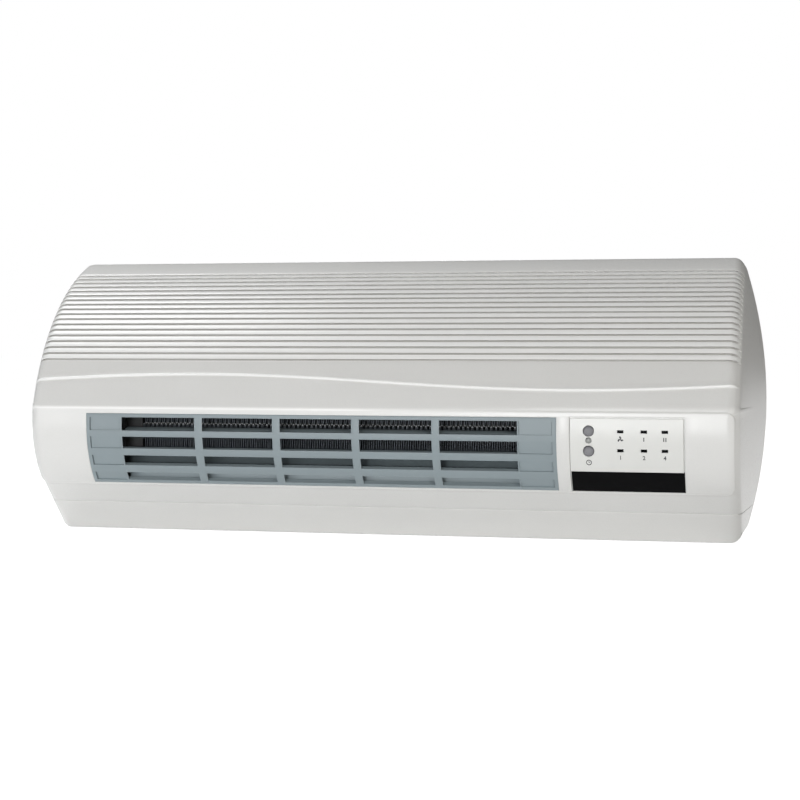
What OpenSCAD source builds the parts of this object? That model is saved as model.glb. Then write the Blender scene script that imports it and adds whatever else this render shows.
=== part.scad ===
// Bathroom wall fan heater that hangs on a steel plate.
// Lengths are in millimetres and angles in degrees.
// x runs to the right along the wall, y runs into the wall and z runs up.
// The origin is on the wall, in the middle of the wall plate's four screws.
// Heights in the values below are measured up from the heater's underside.

/* [Body] */
// Height of the body
body_h = 181; // [178:1:186]
// Depth of the body, from the wall to the front band
body_d = 110; // [108:1:114]
// Distance from the left front edge to the grille
left_margin = 39.3; // [36:0.1:44]
// Distance from the panel to the right front edge
right_margin = 32.4; // [30:0.1:38]
// How far each end bulges past the front edge, at the wall
bulge = 13.4; // [8:0.2:16]
// Height at which the ends bulge most
bulge_z = 86.6; // [80:0.2:95]
// Radius of the bulge
bulge_r = 297; // [290:1:330]
// Depth of the flat top
top_d = 17.5; // [16:0.5:20]
// How far the front stands out past the flat underside
front_over = 48.6; // [46:0.2:52]
// Height where the upper curve meets the front
brow_z = 86.8; // [85.2:0.2:90]
// Radius of the upper curve
front_r = 151; // [145:1:160]
// Radius of the curve under the front
lower_r = 60; // [56:1:62]
// Slope of the face under the front
slope_a = 45; // [42:1:48]
// Radius of the edges round the ends
edge_r = 7; // [5:0.5:9]
// Wall of the plastic shells
wall_t = 2.5; // [2:0.1:3]
// Height of the seam between cover and base
seam_z = 20; // [18:0.5:24]
// Height of the shadow gap at the seam
seam_gap = 0.6; // [0.3:0.1:1]

/* [Front band] */
// How far the band stands out
band_t = 1; // [0.6:0.1:1.4]
// Height of its lower edge
band_z1 = 32.8; // [31:0.2:33]
// Height of its upper edge
band_z2 = 84; // [82:0.2:85]
// Distance from the band's ends to the front edges
band_end = 2.5; // [2:0.5:6]
// Corner radius of the band
band_r = 5.5; // [4:0.5:8]

/* [Grooves] */
// Number of grooves
groove_n = 18; // [10:1:18]
// Width of a groove
groove_w = 1.3; // [0.8:0.1:1.8]
// Depth of a groove
groove_depth = 1; // [0.6:0.1:1.4]
// Distance from groove to groove along the curve
groove_pitch = 4.75; // [4.2:0.05:4.8]
// Height of the lowest groove
groove_z = 114.4; // [112:0.2:118]

/* [Air inlet] */
// Number of slots in the top
slot_n = 36; // [20:1:40]
// Distance from slot to slot
slot_pitch = 9; // [8.5:0.1:9.5]
// Width of a slot
slot_w = 6.4; // [5:0.1:7]
// Length of a slot, from back to front
slot_l = 12; // [8:0.5:12.5]

/* [Outlet grille] */
// Width of the grille
grille_w = 307; // [302:1:310]
// Height of its lower edge
grille_z1 = 33.8; // [33.4:0.1:34.4]
// Height of its upper edge
grille_z2 = 79.8; // [79:0.1:81]
// Width of the air openings, over all columns
air_w = 258; // [250:1:262]
// Number of columns
columns = 5; // [3:1:7]
// Width of the bars between the columns
bar_w = 5.1; // [4:0.1:7]
// Number of rows
rows = 4; // [3:1:4]
// Angle of the first row below level
row_a = 0.7; // [0.4:0.1:1.2]
// Angle from row to row
row_step = 11.6; // [11:0.1:12]
// Angle that the first row spans
row_span = 8; // [7:0.1:8.4]
// How much less each row spans
row_less = 0.7; // [0.4:0.1:0.9]
// Depth of the slats behind the rows
slat_d = 7.5; // [6:0.5:8]
// Thickness of a slat
slat_t = 1.4; // [1:0.1:1.8]
// Rise of a slat towards the back
slat_a = 12; // [5:1:16]

/* [Control panel] */
// Distance between the grille and the panel
panel_gap = 8.1; // [7:0.1:12]
// Width of the panel
panel_w = 69.2; // [66:0.2:70]
// Height of its lower edge
panel_z1 = 34.3; // [33.8:0.1:35]
// Height of its upper edge
panel_z2 = 80; // [79:0.1:81]
// Height of the joint between window and label plate
window_z = 46.5; // [44:0.1:48]
// Thickness of the label plate and the window
label_t = 1.2; // [0.8:0.1:1.5]
// Gap round the plate and the buttons
fit_gap = 0.25; // [0.2:0.05:0.3]
// Place of the buttons, left of the panel's middle
button_left = 22.9; // [21:0.1:25]
// Height of the upper button
power_z = 71.8; // [70:0.1:73]
// Height of the lower button
timer_z = 59.5; // [58:0.1:61]
// Diameter of a button
button_dia = 7; // [5:0.1:8]
// How far a button stands out
button_proud = 0.9; // [0.7:0.1:1.5]
// Travel of a button
button_travel = 0.6; // [0.3:0.1:0.7]
// Places of the light columns, right of the panel's middle
light_xs = [-3.6, 10.6, 23.2];
// Width of a light window
light_w = 4.3; // [3:0.1:5]
// Height of a light window
light_h = 2; // [1.5:0.1:3]
// Diameter of the round status light
status_dia = 3.8; // [3:0.1:4]

/* [Wall plate] */
// Distance from the top down to the plate's middle, and to its screws
screw_drop = 56; // [53:1:58]
// Distance between the screws, across
screw_dx = 200; // [180:1:220]
// Distance between the screws, up and down
screw_dz = 24; // [20:1:26]
// Diameter of a wall screw's hole
screw_hole = 5.5; // [4.5:0.1:6]
// Thickness of the steel
plate_t = 1.5; // [1.2:0.1:1.8]
// Width of the plate
plate_w = 260; // [250:1:280]
// Height of the plate
plate_h = 44; // [42:1:48]
// Distance between the two hooks
hook_dx = 150; // [140:1:158]
// Width of a hook
hook_w = 16; // [12:1:20]
// Height of a hook's lip
lip_h = 10; // [8:0.5:11]
// How far the heater lifts to come off the hooks
lift = 12; // [11.5:0.1:13]

/* [Rear shell] */
// Depth of the recess behind the shell
recess_d = 4; // [3.6:0.1:4.5]
// Diameter of the cable inlet's opening
cable_dia = 8; // [6:0.5:9]
// Place of the cable inlet, along x
cable_x = 138; // [130:1:142]
// Height of the cable inlet
cable_z = 32; // [30:1:36]
// Distance from the middle to the wall pads, along x
pad_x = 170; // [160:1:190]
// Heights of the wall pads
pad_zs = [16, 60];
// Diameter of a wall pad
pad_dia = 14; // [10:1:16]
// Radius of the bosses that take the cover's and the duct's screws
boss_r = 4; // [3.5:0.1:5]
// Distance from the front edges to the cover's bosses
boss_in = 16; // [14:0.5:20]
// Height of the lower bosses
boss_z = 36; // [32:1:40]
// Distance from the top to the upper bosses
boss_drop = 40; // [36:1:44]
// Places of the lugs that the base cover is screwed to
lug_xs = [-150, 0, 105];
// Height of a lug
lug_h = 12; // [10:1:14]

/* [Fan] */
// Gap between the impeller and the cover's upper curve
fan_gap = 6.6; // [5:0.1:9]
// Gap between the impeller and the rear shell
fan_back = 10.5; // [10:0.5:12]
// Gap between the impeller and the tray, in height
fan_above = 0.6; // [0.4:0.1:2]
// Number of blades
blade_n = 24; // [16:1:30]
// Depth of a blade
blade_w = 7.5; // [6:0.5:9]
// Thickness of a blade
blade_t = 1; // [0.8:0.1:1.2]
// Number of discs along the impeller
disc_n = 6; // [4:1:8]
// Diameter of the shaft
shaft_dia = 6; // [5:0.5:7]
// Radial clearance of the shaft in its bearings
bearing_gap = 0.05; // [0.03:0.01:0.08]

/* [Duct and heating element] */
// Distance from the air openings to the duct's left side
duct_left = 5.3; // [3:0.1:8]
// Distance from the air openings to the duct's right side
duct_right = 18.2; // [16:0.1:20]
// Wall of the duct
duct_t = 2.2; // [1.8:0.1:2.5]
// Gap between the impeller and the scroll behind it
scroll_gap = 6; // [5:0.5:7]
// Gap between the impeller and the tongue in front of it
tongue_gap = 2.5; // [2:0.1:3]
// Height of the duct's floor
floor_z = 51; // [50:0.2:52]
// Thickness of the steel tray
tray_t = 1.2; // [0.8:0.1:1.4]
// Depth of the heating element behind the front band
element_in = 20; // [19:0.5:21]
// Depth of the heating element
element_d = 16; // [14:0.5:17]
// Height of a row of fins
fin_h = 8; // [7:0.1:8.4]
// Thickness of the fins' sheet
fin_t = 0.4; // [0.3:0.05:0.5]
// Distance from fold to fold
fin_pitch = 4; // [3:0.5:6]
// Height of a heating tube
tube_h = 4; // [3.5:0.1:4.5]
// Length of the left end block
end_l1 = 18; // [15:0.5:20]
// Length of the right end block
end_l2 = 12; // [10:0.5:14]
// Distance from the middle to the thermal cutout and to the fuse, along x
safety_x = 60; // [30:1:80]

/* [Motor] */
// Length of the iron core
core_l = 22; // [18:1:24]
// How far the core stays inside the impeller's radius
core_in = 7; // [6.5:0.5:10]
// Gap between the rotor and the core
air_gap = 0.4; // [0.3:0.1:0.6]
// Diameter of the rotor
rotor_dia = 28; // [24:1:30]

/* [Boards] */
// Thickness of a circuit board
board_t = 1.6; // [1.2:0.1:1.8]
// Depth of the display board behind the front band
display_in = 13; // [12.5:0.1:13.5]
// Distance from the wall to the control board's front
control_y = 17; // [16:0.5:18]
// Width of the control board
control_w = 44; // [42:1:46]
// Height of the control board
control_h = 84; // [80:1:86]

/* [Hidden] */
$fn = 48;
far = 400;       // longer than the body, for cuts that go right through
skin = 0.5;      // how far a cut runs past a face
rim_w = left_margin + grille_w + panel_gap + panel_w + right_margin;
ends_x = rim_w / 2;
grille_x = left_margin + grille_w / 2 - ends_x;
panel_x = ends_x - right_margin - panel_w / 2;
band_w = rim_w - 2 * band_end;
front_y = -(body_d - band_t);
under_d = -front_y - front_over;
screw_z = body_h - screw_drop;

// ---- Outline of the body, seen from its side: [y, z], y = 0 at the wall ----

chord_top = [-top_d, body_h];
chord_brow = [front_y, brow_z];
chord = chord_top - chord_brow;
front_c = (chord_top + chord_brow) / 2
    + [chord.y, -chord.x] / norm(chord) * sqrt(pow(front_r, 2) - pow(norm(chord) / 2, 2));
lower_c = [front_y + lower_r,
           (lower_r - sin(slope_a) * (front_y + lower_r + under_d)) / cos(slope_a)];
toe_z = lower_c.y - lower_r * sin(slope_a);

function polar(a) = [cos(a), sin(a)];
function arc(c, r, a1, a2, n) = [for (i = [0:n]) c + r * polar(a1 + (a2 - a1) * i / n)];
function top_angle(t) = 180 - asin((body_h - t - front_c.y) / (front_r - t));
function brow_angle(t) = acos((front_y + t - front_c.x) / (front_r - t));

// Front of the body at height z, t inside its surface
function front_at(z, t = 0) =
    z > front_c.y + (front_r - t) * sin(brow_angle(t))
        ? front_c.x - sqrt(pow(front_r - t, 2) - pow(min(z, body_h) - front_c.y, 2))
    : z > lower_c.y ? front_y + t
    : z > toe_z ? lower_c.x - sqrt(pow(lower_r - t, 2) - pow(z - lower_c.y, 2))
    : -under_d - z / tan(slope_a) + t / sin(slope_a);

// Outline from the wall over the top, down the front and back to the wall
function side_points(t, back) = concat(
    [[back, body_h - t]],
    arc(front_c, front_r - t, top_angle(t), brow_angle(t), 22),
    arc(lower_c, lower_r - t, 180, 180 + slope_a, 9),
    [[-under_d + t * (1 - cos(slope_a)) / sin(slope_a), t], [back, t]]);

module side_shape(t) { polygon(side_points(t, 0)); }
module side_ring(outer, inner) {
    difference() {
        polygon(side_points(outer, 0));
        polygon(side_points(inner, 1));
    }
}

// ---- Whole body with its rounded, bulging ends, t inside its surface ----

ring_n = 5;
point_n = len(side_points(0, 0));
function ring_angle(k) = 90 * k / ring_n;
function bulge_at(z) = sqrt(pow(bulge_r, 2) - pow(z - bulge_z, 2)) - bulge_r + bulge;
function flare(y, z) = bulge_at(z) * (1 - y / front_at(z));
function ring_x(t, k) = ends_x - edge_r + (edge_r - t) * sin(ring_angle(k));
function ring_points(t, k, back, side) =
    [for (p = side_points(t + (edge_r - t) * (1 - cos(ring_angle(k))), back))
        [side * (ring_x(t, k) + flare(p.x, p.y)), p.x, p.y]];
function wall_points(t, back, side) =
    let (ps = side_points(edge_r, back))
    [for (i = [2:point_n - 3])
        [side * (ring_x(t, ring_n) + flare(back, ps[i].y)), back, ps[i].y]];
function ring_id(side, k, i) = (side * (ring_n + 1) + k) * point_n + i;
function wall_id(side, i) =
    i == 1 ? ring_id(side, ring_n, 0)
    : i == point_n - 2 ? ring_id(side, ring_n, point_n - 1)
    : 2 * (ring_n + 1) * point_n + side * (point_n - 4) + i - 2;
function quad(a, b, c, d, side) =
    side == 0 ? [[a, c, b], [a, d, c]] : [[a, b, c], [a, c, d]];

module body_form(t, back = 0) {
    points = concat(
        [for (side = [1, -1], k = [0:ring_n]) each ring_points(t, k, back, side)],
        [for (side = [1, -1]) each wall_points(t, back, side)]);
    faces = concat(
        [for (s = [0, 1], k = [0:ring_n - 1], i = [0:point_n - 2])
            each quad(ring_id(s, k, i), ring_id(s, k, i + 1),
                      ring_id(s, k + 1, i + 1), ring_id(s, k + 1, i), s)],
        [for (s = [0, 1], i = [1:point_n - 3])
            each quad(ring_id(s, ring_n, i), ring_id(s, ring_n, i + 1),
                      wall_id(s, i + 1), wall_id(s, i), s)],
        [for (i = [0:point_n - 2])
            each quad(ring_id(1, 0, i), ring_id(1, 0, i + 1),
                      ring_id(0, 0, i + 1), ring_id(0, 0, i), 0)],
        [concat(
            [for (k = [0:ring_n]) ring_id(1, k, 0)],
            [for (i = [2:point_n - 3]) wall_id(1, i)],
            [for (k = [ring_n:-1:0]) ring_id(1, k, point_n - 1)],
            [for (k = [0:ring_n]) ring_id(0, k, point_n - 1)],
            [for (i = [point_n - 3:-1:2]) wall_id(0, i)],
            [for (k = [ring_n:-1:0]) ring_id(0, k, 0)])]);
    polyhedron(points, faces);
}

// ---- Helpers ----

// Moves a piece drawn with z = 0 at the underside to the frame of the wall screws
module from_underside() { translate([0, 0, -screw_z]) children(); }
// Extrudes a side view along x
module along_x(x1, x2) {
    translate([x1, 0, 0]) rotate([90, 0, 90]) linear_extrude(x2 - x1) children();
}
// Box between two corners
module block(a, b) { translate(a) cube(b - a); }
// Slab of all that lies between two heights
module level(z1, z2) { block([-far, -far, z1], [far, far, z2]); }
// Cylinder along y, from y1 to y2
module rod_y(x, z, y1, y2, r) {
    translate([x, y2, z]) rotate([90, 0, 0]) cylinder(h = y2 - y1, r = r);
}
// Cylinder along x, from x1 to x2
module rod_x(y, z, x1, x2, r) {
    translate([x1, y, z]) rotate([0, 90, 0]) cylinder(h = x2 - x1, r = r);
}
// Pan head screw along y, with its head's flat towards +y or -y
module screw_y(x, z, y_head, y_tip, head_r, head_t, shank_r) {
    s = sign(y_head - y_tip);
    rod_y(x, z, min(y_head, y_head + s * head_t), max(y_head, y_head + s * head_t), head_r);
    rod_y(x, z, min(y_head, y_tip), max(y_head, y_tip), shank_r);
}
// Round wire through a list of points
function unit(v) = v / norm(v);
function heading(ps, i) = i == 0 ? unit(ps[1] - ps[0])
    : i == len(ps) - 1 ? unit(ps[i] - ps[i - 1])
    : unit(unit(ps[i + 1] - ps[i]) + unit(ps[i] - ps[i - 1]));
module wire(ps, r) {
    sides = 8;
    rings = [for (i = [0:len(ps) - 1])
        let (d = heading(ps, i),
             u = unit(cross(d, abs(d.z) > 0.8 ? [1, 0, 0] : [0, 0, 1])), v = cross(d, u))
        for (j = [0:sides - 1]) ps[i] + r * (u * cos(360 * j / sides) + v * sin(360 * j / sides))];
    last = (len(ps) - 1) * sides;
    polyhedron(rings, concat(
        [[for (j = [0:sides - 1]) j], [for (j = [sides - 1:-1:0]) last + j]],
        [for (i = [0:len(ps) - 2], j = [0:sides - 1])
            let (a = i * sides + j, b = i * sides + (j + 1) % sides)
            each [[a, a + sides, b + sides], [a, b + sides, b]]]));
}

// ---- Places that several pieces share ----

shell_y = -recess_d;                        // back of the rear shell
inner_y = shell_y - wall_t;                 // front of the rear shell
shell_gap = 0.3;                            // between the rear shell and the cover
back_gap = 0.5;                             // between the cover and the wall
pilot_r = 1.3;
thread_r = 1.25;
hole_play = 0.4;
cover_boss = [for (x = [-1, 1] * (ends_x - boss_in), z = [boss_z, body_h - boss_drop]) [x, z]];
wall_screw = [for (sx = [-1, 1], sz = [-1, 1]) [sx * screw_dx / 2, screw_z + sz * screw_dz / 2]];
light_x = [for (d = light_xs) panel_x + d];
button_x = panel_x - button_left;
status_z = (power_z + timer_z) / 2 + 0.4;
panel_x1 = panel_x - panel_w / 2;
panel_x2 = panel_x + panel_w / 2;
label_floor = label_t - band_t;             // depth of the panel's recess
hook_top = screw_z + 4;
hook_y = inner_y - 0.3 - plate_t;           // front of a hook's lip
slot_h = plate_t + lift + 1.5;
duct_x1 = grille_x - air_w / 2 - duct_left;
duct_x2 = grille_x + air_w / 2 + duct_right;
element_y = body_d - element_in;
display_y = body_d - display_in;
core_z1 = floor_z + tray_t;                 // underside of the lowest fins
core_z2 = core_z1 + 3 * fin_h + 2 * tube_h;
tray_top = core_z2 + tray_t;
// The impeller fills the room between the rear shell, the tray and the upper curve:
// its radius r puts its middle at fan_corner + r * [-1, 1], and fan_room - r from front_c
fan_corner = [inner_y - fan_back, tray_top + fan_above];
fan_room = front_r - wall_t - fan_gap;
fan_reach = fan_room + (fan_corner - front_c) * [-1, 1];
fan_r = floor(10 * (sqrt(pow(fan_reach, 2) + pow(fan_room, 2)
    - pow(norm(fan_corner - front_c), 2)) - fan_reach)) / 10;
fan_c = fan_corner + fan_r * [-1, 1];
fan_z = fan_c.y;
scroll_r = fan_r + scroll_gap;
duct_post = [for (x = [-118, 52]) [x, fan_z - 4]];
fan_x1 = duct_x1 + 3.5;
fan_x2 = duct_x2 - 4;
stub_x1 = duct_x1 - 16;
motor_x = duct_x2 + duct_t + 3;             // front face of the motor
core_x1 = motor_x + 8;
core_x2 = core_x1 + core_l;
bracket_t = 2;
motor_end = core_x2 + 10;

// ---- Wall plate ----

module wall_plate() color("silver") from_underside() {
    lip_y2 = hook_y + plate_t;
    difference() {
        block([-plate_w / 2, -plate_t, screw_z - plate_h / 2],
              [plate_w / 2, 0, screw_z + plate_h / 2]);
        for (c = wall_screw) rod_y(c.x, c.y, -plate_t - skin, skin, screw_hole / 2);
        // windows that the hooks are bent out of
        for (x = [-1, 1] * hook_dx / 2)
            block([x - hook_w / 2, -plate_t - skin, hook_top - plate_t - lip_h],
                  [x + hook_w / 2, skin, hook_top - plate_t]);
        // round hole that the installer lines up with the middle of the heater
        rod_y(0, screw_z, -plate_t - skin, skin, 3);
    }
    for (x = [-1, 1] * hook_dx / 2) {
        block([x - hook_w / 2, hook_y, hook_top - plate_t], [x + hook_w / 2, -plate_t, hook_top]);
        block([x - hook_w / 2, hook_y, hook_top], [x + hook_w / 2, lip_y2, hook_top + lip_h]);
    }
}

// ---- Rear shell ----

module rear_shell() color("whitesmoke") from_underside() {
    rim_h = 6;
    difference() {
        intersection() {
            body_form(wall_t + shell_gap);
            block([-far, inner_y - rim_h, 0], [far, shell_y, far]);
        }
        difference() {
            body_form(wall_t + shell_gap + 2, 1);
            block([-far, inner_y, 0], [far, 1, far]);
        }
        rear_shell_holes();
    }
    difference() {
        union() {
            for (c = control_post) rod_y(c.x, c.y, -control_y + board_t, inner_y, 3.5);
            for (x = lug_xs)
                block([x - 7, inner_y - 16, wall_t], [x + 7, inner_y, wall_t + lug_h]);
        }
        for (c = control_post) rod_y(c.x, c.y, -far, inner_y, pilot_r);
        for (x = lug_xs)
            translate([x, inner_y - 8, 0]) cylinder(h = wall_t + lug_h - 2, r = pilot_r);
    }
}

module rear_shell_holes() {
    for (x = [-1, 1] * hook_dx / 2)
        block([x - hook_w / 2 - 1, inner_y - skin, hook_top + 0.1 - slot_h],
              [x + hook_w / 2 + 1, 0, hook_top + 0.1]);
    for (c = concat(cover_boss, duct_post))
        rod_y(c.x, c.y, inner_y - skin, 0, thread_r + hole_play);
    rod_y(cable_x, cable_z, inner_y - skin, 0, cable_dia / 2 + 2);
    // gap in the rim below the inlet slots
    block([-slot_n * slot_pitch / 2, -far, body_h - 3 * wall_t],
          [slot_n * slot_pitch / 2, inner_y, far]);
}

// ---- Front cover ----

module band_block() {
    z1 = band_z1 + band_r;
    z2 = band_z2 - band_r;
    w = band_w / 2;
    block([-w, -far, z1], [w, lower_c.x, z2]);
    block([-w + band_r, -far, band_z1], [w - band_r, lower_c.x, band_z2]);
    for (x = [-1, 1] * (w - band_r), z = [z1, z2]) rod_y(x, z, -far, lower_c.x, band_r);
}

module grooves() {
    a0 = asin((groove_z - front_c.y) / front_r);
    step = groove_pitch / front_r * 180 / PI;
    for (i = [0:groove_n - 1])
        translate([-ends_x, front_c.x, front_c.y]) rotate([180 - a0 - i * step, 0, 0])
            translate([0, front_r - groove_depth, -groove_w / 2])
                cube([2 * ends_x, groove_depth + 2, groove_w]);
}

module inlet_slots() {
    for (i = [0:slot_n - 1]) {
        x = (i - (slot_n - 1) / 2) * slot_pitch;
        block([x - slot_w / 2, -top_d + 2, body_h - 2 * wall_t],
              [x + slot_w / 2, -top_d + 2 + slot_l, body_h + skin]);
    }
}

// Room in the cover's front for the label plate and the window
module panel_recess(x1, x2, z1, z2) {
    intersection() {
        along_x(x1, x2) side_ring(-band_t - 2, label_floor);
        level(z1, z2);
    }
}

module panel_holes() {
    for (z = [power_z, timer_z]) rod_y(button_x, z, -far, lower_c.x, button_dia / 2 + fit_gap);
    rod_y(button_x, status_z, -far, lower_c.x, status_dia / 2);
    for (x = light_x, z = [power_z, timer_z])
        block([x - light_w / 2, -far, z - light_h / 2],
              [x + light_w / 2, lower_c.x, z + light_h / 2]);
}

module display_bosses() {
    difference() {
        for (c = display_post) rod_y(c.x, c.y, front_at(c.y, wall_t) - 1, -display_y, 3);
        for (c = display_post) rod_y(c.x, c.y, -display_y - 6, lower_c.x, thread_r);
    }
}

module front_cover() color("white") from_underside() {
    difference() {
        union() {
            difference() {
                union() {
                    body_form(0);
                    intersection() {
                        body_form(-band_t);
                        band_block();
                    }
                }
                body_form(wall_t, 1);
                grooves();
                inlet_slots();
            }
            intersection() {
                body_form(wall_t / 2);
                for (c = cover_boss) rod_y(c.x, c.y, -far, inner_y, boss_r);
            }
            display_bosses();
        }
        level(-far, seam_z);
        block([-far, -back_gap, 0], [far, far, far]);
        for (c = cover_boss) rod_y(c.x, c.y, inner_y - 14, inner_y + skin, thread_r);
        block([grille_x - grille_w / 2, -far, grille_z1],
              [grille_x + grille_w / 2, lower_c.x, grille_z2]);
        panel_recess(panel_x1, panel_x2, panel_z1, panel_z2);
        panel_holes();
        block([panel_x - 10, -far, panel_z1 + 3], [panel_x + 10, lower_c.x, window_z - 1.5]);
    }
}

// ---- Base cover, below the seam ----

module base_cover() color("whitesmoke") from_underside() {
    difference() {
        intersection() {
            union() {
                difference() {
                    body_form(0);
                    body_form(wall_t, 1);
                }
                // lip that stands behind the cover's lower edge
                difference() {
                    body_form(wall_t);
                    body_form(wall_t + 1.5, 1);
                    level(-far, seam_z - 6);
                    block([-far, inner_y - 8, 0], [far, far, far]);
                }
            }
            level(0, seam_z + 4);
            block([-far, -far, 0], [far, -back_gap, far]);
        }
        // the outer half of the edge is lower, for the shadow gap
        difference() {
            level(seam_z - seam_gap, seam_z + skin);
            body_form(wall_t / 2, 1);
        }
        difference() {
            level(seam_z, far);
            body_form(wall_t, 1);
        }
        for (x = lug_xs) translate([x, inner_y - 8, -skin]) {
            cylinder(h = wall_t + 1, r = thread_r + hole_play);
            cylinder(h = 1 + skin, r = 2.8);
        }
    }
}

// ---- Outlet grille ----

// Wedge that row i of the grille opens, seen from the side
module row_wedge(i) {
    a = 180 + row_a + row_step * i;
    span = (row_span - row_less * i) / 2;
    reach = lower_r + 20;
    polygon([lower_c, lower_c + reach * polar(a - span), lower_c + reach * polar(a + span)]);
}

// Slat whose upper face starts at the lower edge of row i
module slat(i) {
    a = 180 + row_a + row_step * i + (row_span - row_less * i) / 2;
    start = lower_c + (lower_r - wall_t) * polar(a);
    translate(start) rotate(slat_a) translate([0, -slat_t]) square([slat_d, slat_t]);
}

module outlet_grille() color("lightslategray") from_underside() {
    x1 = grille_x - grille_w / 2;
    x2 = grille_x + grille_w / 2;
    a1 = grille_x - air_w / 2;
    a2 = grille_x + air_w / 2;
    flange = 2.5;
    flange_t = 1.5;
    pitch = (air_w + bar_w) / columns;
    difference() {
        union() {
            intersection() {
                along_x(x1, x2) side_ring(-band_t, wall_t);
                level(grille_z1, grille_z2);
            }
            intersection() {
                along_x(x1 - flange, x2 + flange) side_ring(wall_t, wall_t + flange_t);
                level(grille_z1 - flange, grille_z2 + flange);
            }
        }
        for (i = [0:rows - 1], j = [0:columns - 1])
            along_x(a1 + j * pitch, a1 + (j + 1) * pitch - bar_w) row_wedge(i);
        // stepped panels at both blank ends
        for (i = [0:rows - 1], x = [[x1 + 1.5, a1 - 1], [a2 + 1, x2 - 1.5]])
            along_x(x[0], x[1]) intersection() {
                row_wedge(i);
                side_ring(-band_t - 2, 0.6 - band_t);
            }
    }
    for (i = [0:rows - 1]) along_x(a1, a2) slat(i);
    // lip that leads the air out below the last row
    along_x(a1, a2) polygon([[front_at(grille_z1 + 1, wall_t + 1), grille_z1 + 1],
        [-element_y - 2.5, floor_z - 8], [-element_y - 1, floor_z - 9],
        [front_at(grille_z1 - 1, wall_t + 1), grille_z1 - 1]]);
    for (x = [a1 - slat_t, a2]) along_x(x, x + slat_t) intersection() {
        side_ring(wall_t, wall_t + 5);
        translate([-far, grille_z1]) square([far, grille_z2 - grille_z1]);
    }
}

// ---- Control panel ----

module label_plate() color("gainsboro") from_underside() {
    difference() {
        intersection() {
            along_x(panel_x1 + fit_gap, panel_x2 - fit_gap) side_ring(-band_t, label_floor);
            level(window_z, panel_z2 - fit_gap);
        }
        panel_holes();
    }
}

module receiver_window() color("#141414") from_underside() {
    intersection() {
        along_x(panel_x1 + fit_gap, panel_x2 - fit_gap) side_ring(-band_t, label_floor);
        level(panel_z1 + fit_gap, window_z);
    }
}

module light_windows() color("#202020") from_underside() {
    for (x = light_x, z = [power_z, timer_z]) intersection() {
        along_x(x - light_w / 2, x + light_w / 2) side_ring(-band_t, wall_t);
        level(z - light_h / 2, z + light_h / 2);
    }
}

module status_lens() color("darkgray") from_underside() {
    y = front_at(status_z, -band_t);
    rod_y(button_x, status_z, y - 0.2, y + label_t + wall_t - 1, status_dia / 2);
}

module button(z) {
    y = front_at(z, -band_t) - button_proud;
    behind = front_at(z, wall_t) + fit_gap + button_flange_gap(z);
    rod_y(button_x, z, y, behind + 1, button_dia / 2);
    rod_y(button_x, z, behind, behind + 1, button_dia / 2 + 1);
    rod_y(button_x, z, behind, plunger_y, 1.5);
}
// The wall slopes back below a low button, so its flange starts further in
function button_flange_gap(z) = front_at(z - button_dia / 2 - 1, wall_t) - front_at(z, wall_t);
switch_y = -display_y - 3.6;                // front of a switch
plunger_y = switch_y - button_travel - 0.7; // front of its plunger

module power_button() color("gray") from_underside() button(power_z);
module timer_button() color("gray") from_underside() button(timer_z);

module plunger(z) { rod_y(button_x, z, plunger_y, switch_y + 1.2, 1.6); }
module power_plunger() color("black") from_underside() plunger(power_z);
module timer_plunger() color("black") from_underside() plunger(timer_z);

module tact_switches() color("#303030") from_underside() {
    for (z = [power_z, timer_z]) difference() {
        block([button_x - 3, switch_y, z - 3], [button_x + 3, -display_y, z + 3]);
        rod_y(button_x, z, switch_y - skin, switch_y + button_travel + 1.8, 1.6 + fit_gap / 2);
    }
}

display_z1 = window_z - 0.5;
display_z2 = panel_z2 - 1;
display_post = [for (x = [panel_x1 + 4, panel_x2 - 4], z = [display_z1 + 4, display_z2 - 3])
    [x, z]];

module display_board() color("darkgreen") from_underside() {
    difference() {
        block([panel_x1, -display_y, display_z1], [panel_x2, -display_y + board_t, display_z2]);
        for (c = display_post) rod_y(c.x, c.y, -display_y - 1, lower_c.x, thread_r + hole_play);
    }
}

module indicator_leds() color("lightyellow") from_underside() {
    for (x = light_x, z = [power_z, timer_z])
        rod_y(x, z, -display_y - 5, -display_y, 1.5);
    rod_y(button_x, status_z, -display_y - 5, -display_y, 1.5);
}

module infrared_receiver() color("black") from_underside() {
    y = -display_y + board_t;
    z = display_z1 + 0.5;
    block([panel_x - 3, y, z - 6.5], [panel_x + 3, y + 4, z]);
    for (s = [-2.5, 0, 2.5]) block([panel_x + s - 0.3, y, z], [panel_x + s + 0.3, y + 0.5, z + 4]);
}

// ---- Control board and its parts ----

control_x = ends_x - 44;
control_x1 = control_x - control_w / 2;
control_z1 = 36;
control_post = [for (s = [-1, 1], z = [4, control_h - 4])
    [control_x + s * (control_w / 2 - 4), control_z1 + z]];

module control_board() color("darkgreen") from_underside() {
    difference() {
        block([control_x1, -control_y, control_z1],
              [control_x1 + control_w, -control_y + board_t, control_z1 + control_h]);
        for (c = control_post) rod_y(c.x, c.y, -control_y - 1, 0, thread_r + hole_play);
    }
}

module relays() color("royalblue") from_underside() {
    for (x = [control_x - 10, control_x + 6])
        block([x - 7.8, -control_y - 15.5, control_z1 + 12], [x + 7.8, -control_y, control_z1 + 31]);
}

module capacitors() color("goldenrod") from_underside() {
    block([control_x - 13, -control_y - 14, control_z1 + 36],
          [control_x + 5, -control_y, control_z1 + 43]);
    translate([control_x + 13, 0, 0])
        rod_y(0, control_z1 + 42, -control_y - 12, -control_y, 4);
    translate([control_x + 13, 0, 0])
        rod_y(0, control_z1 + 54, -control_y - 12, -control_y, 4);
}

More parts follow.
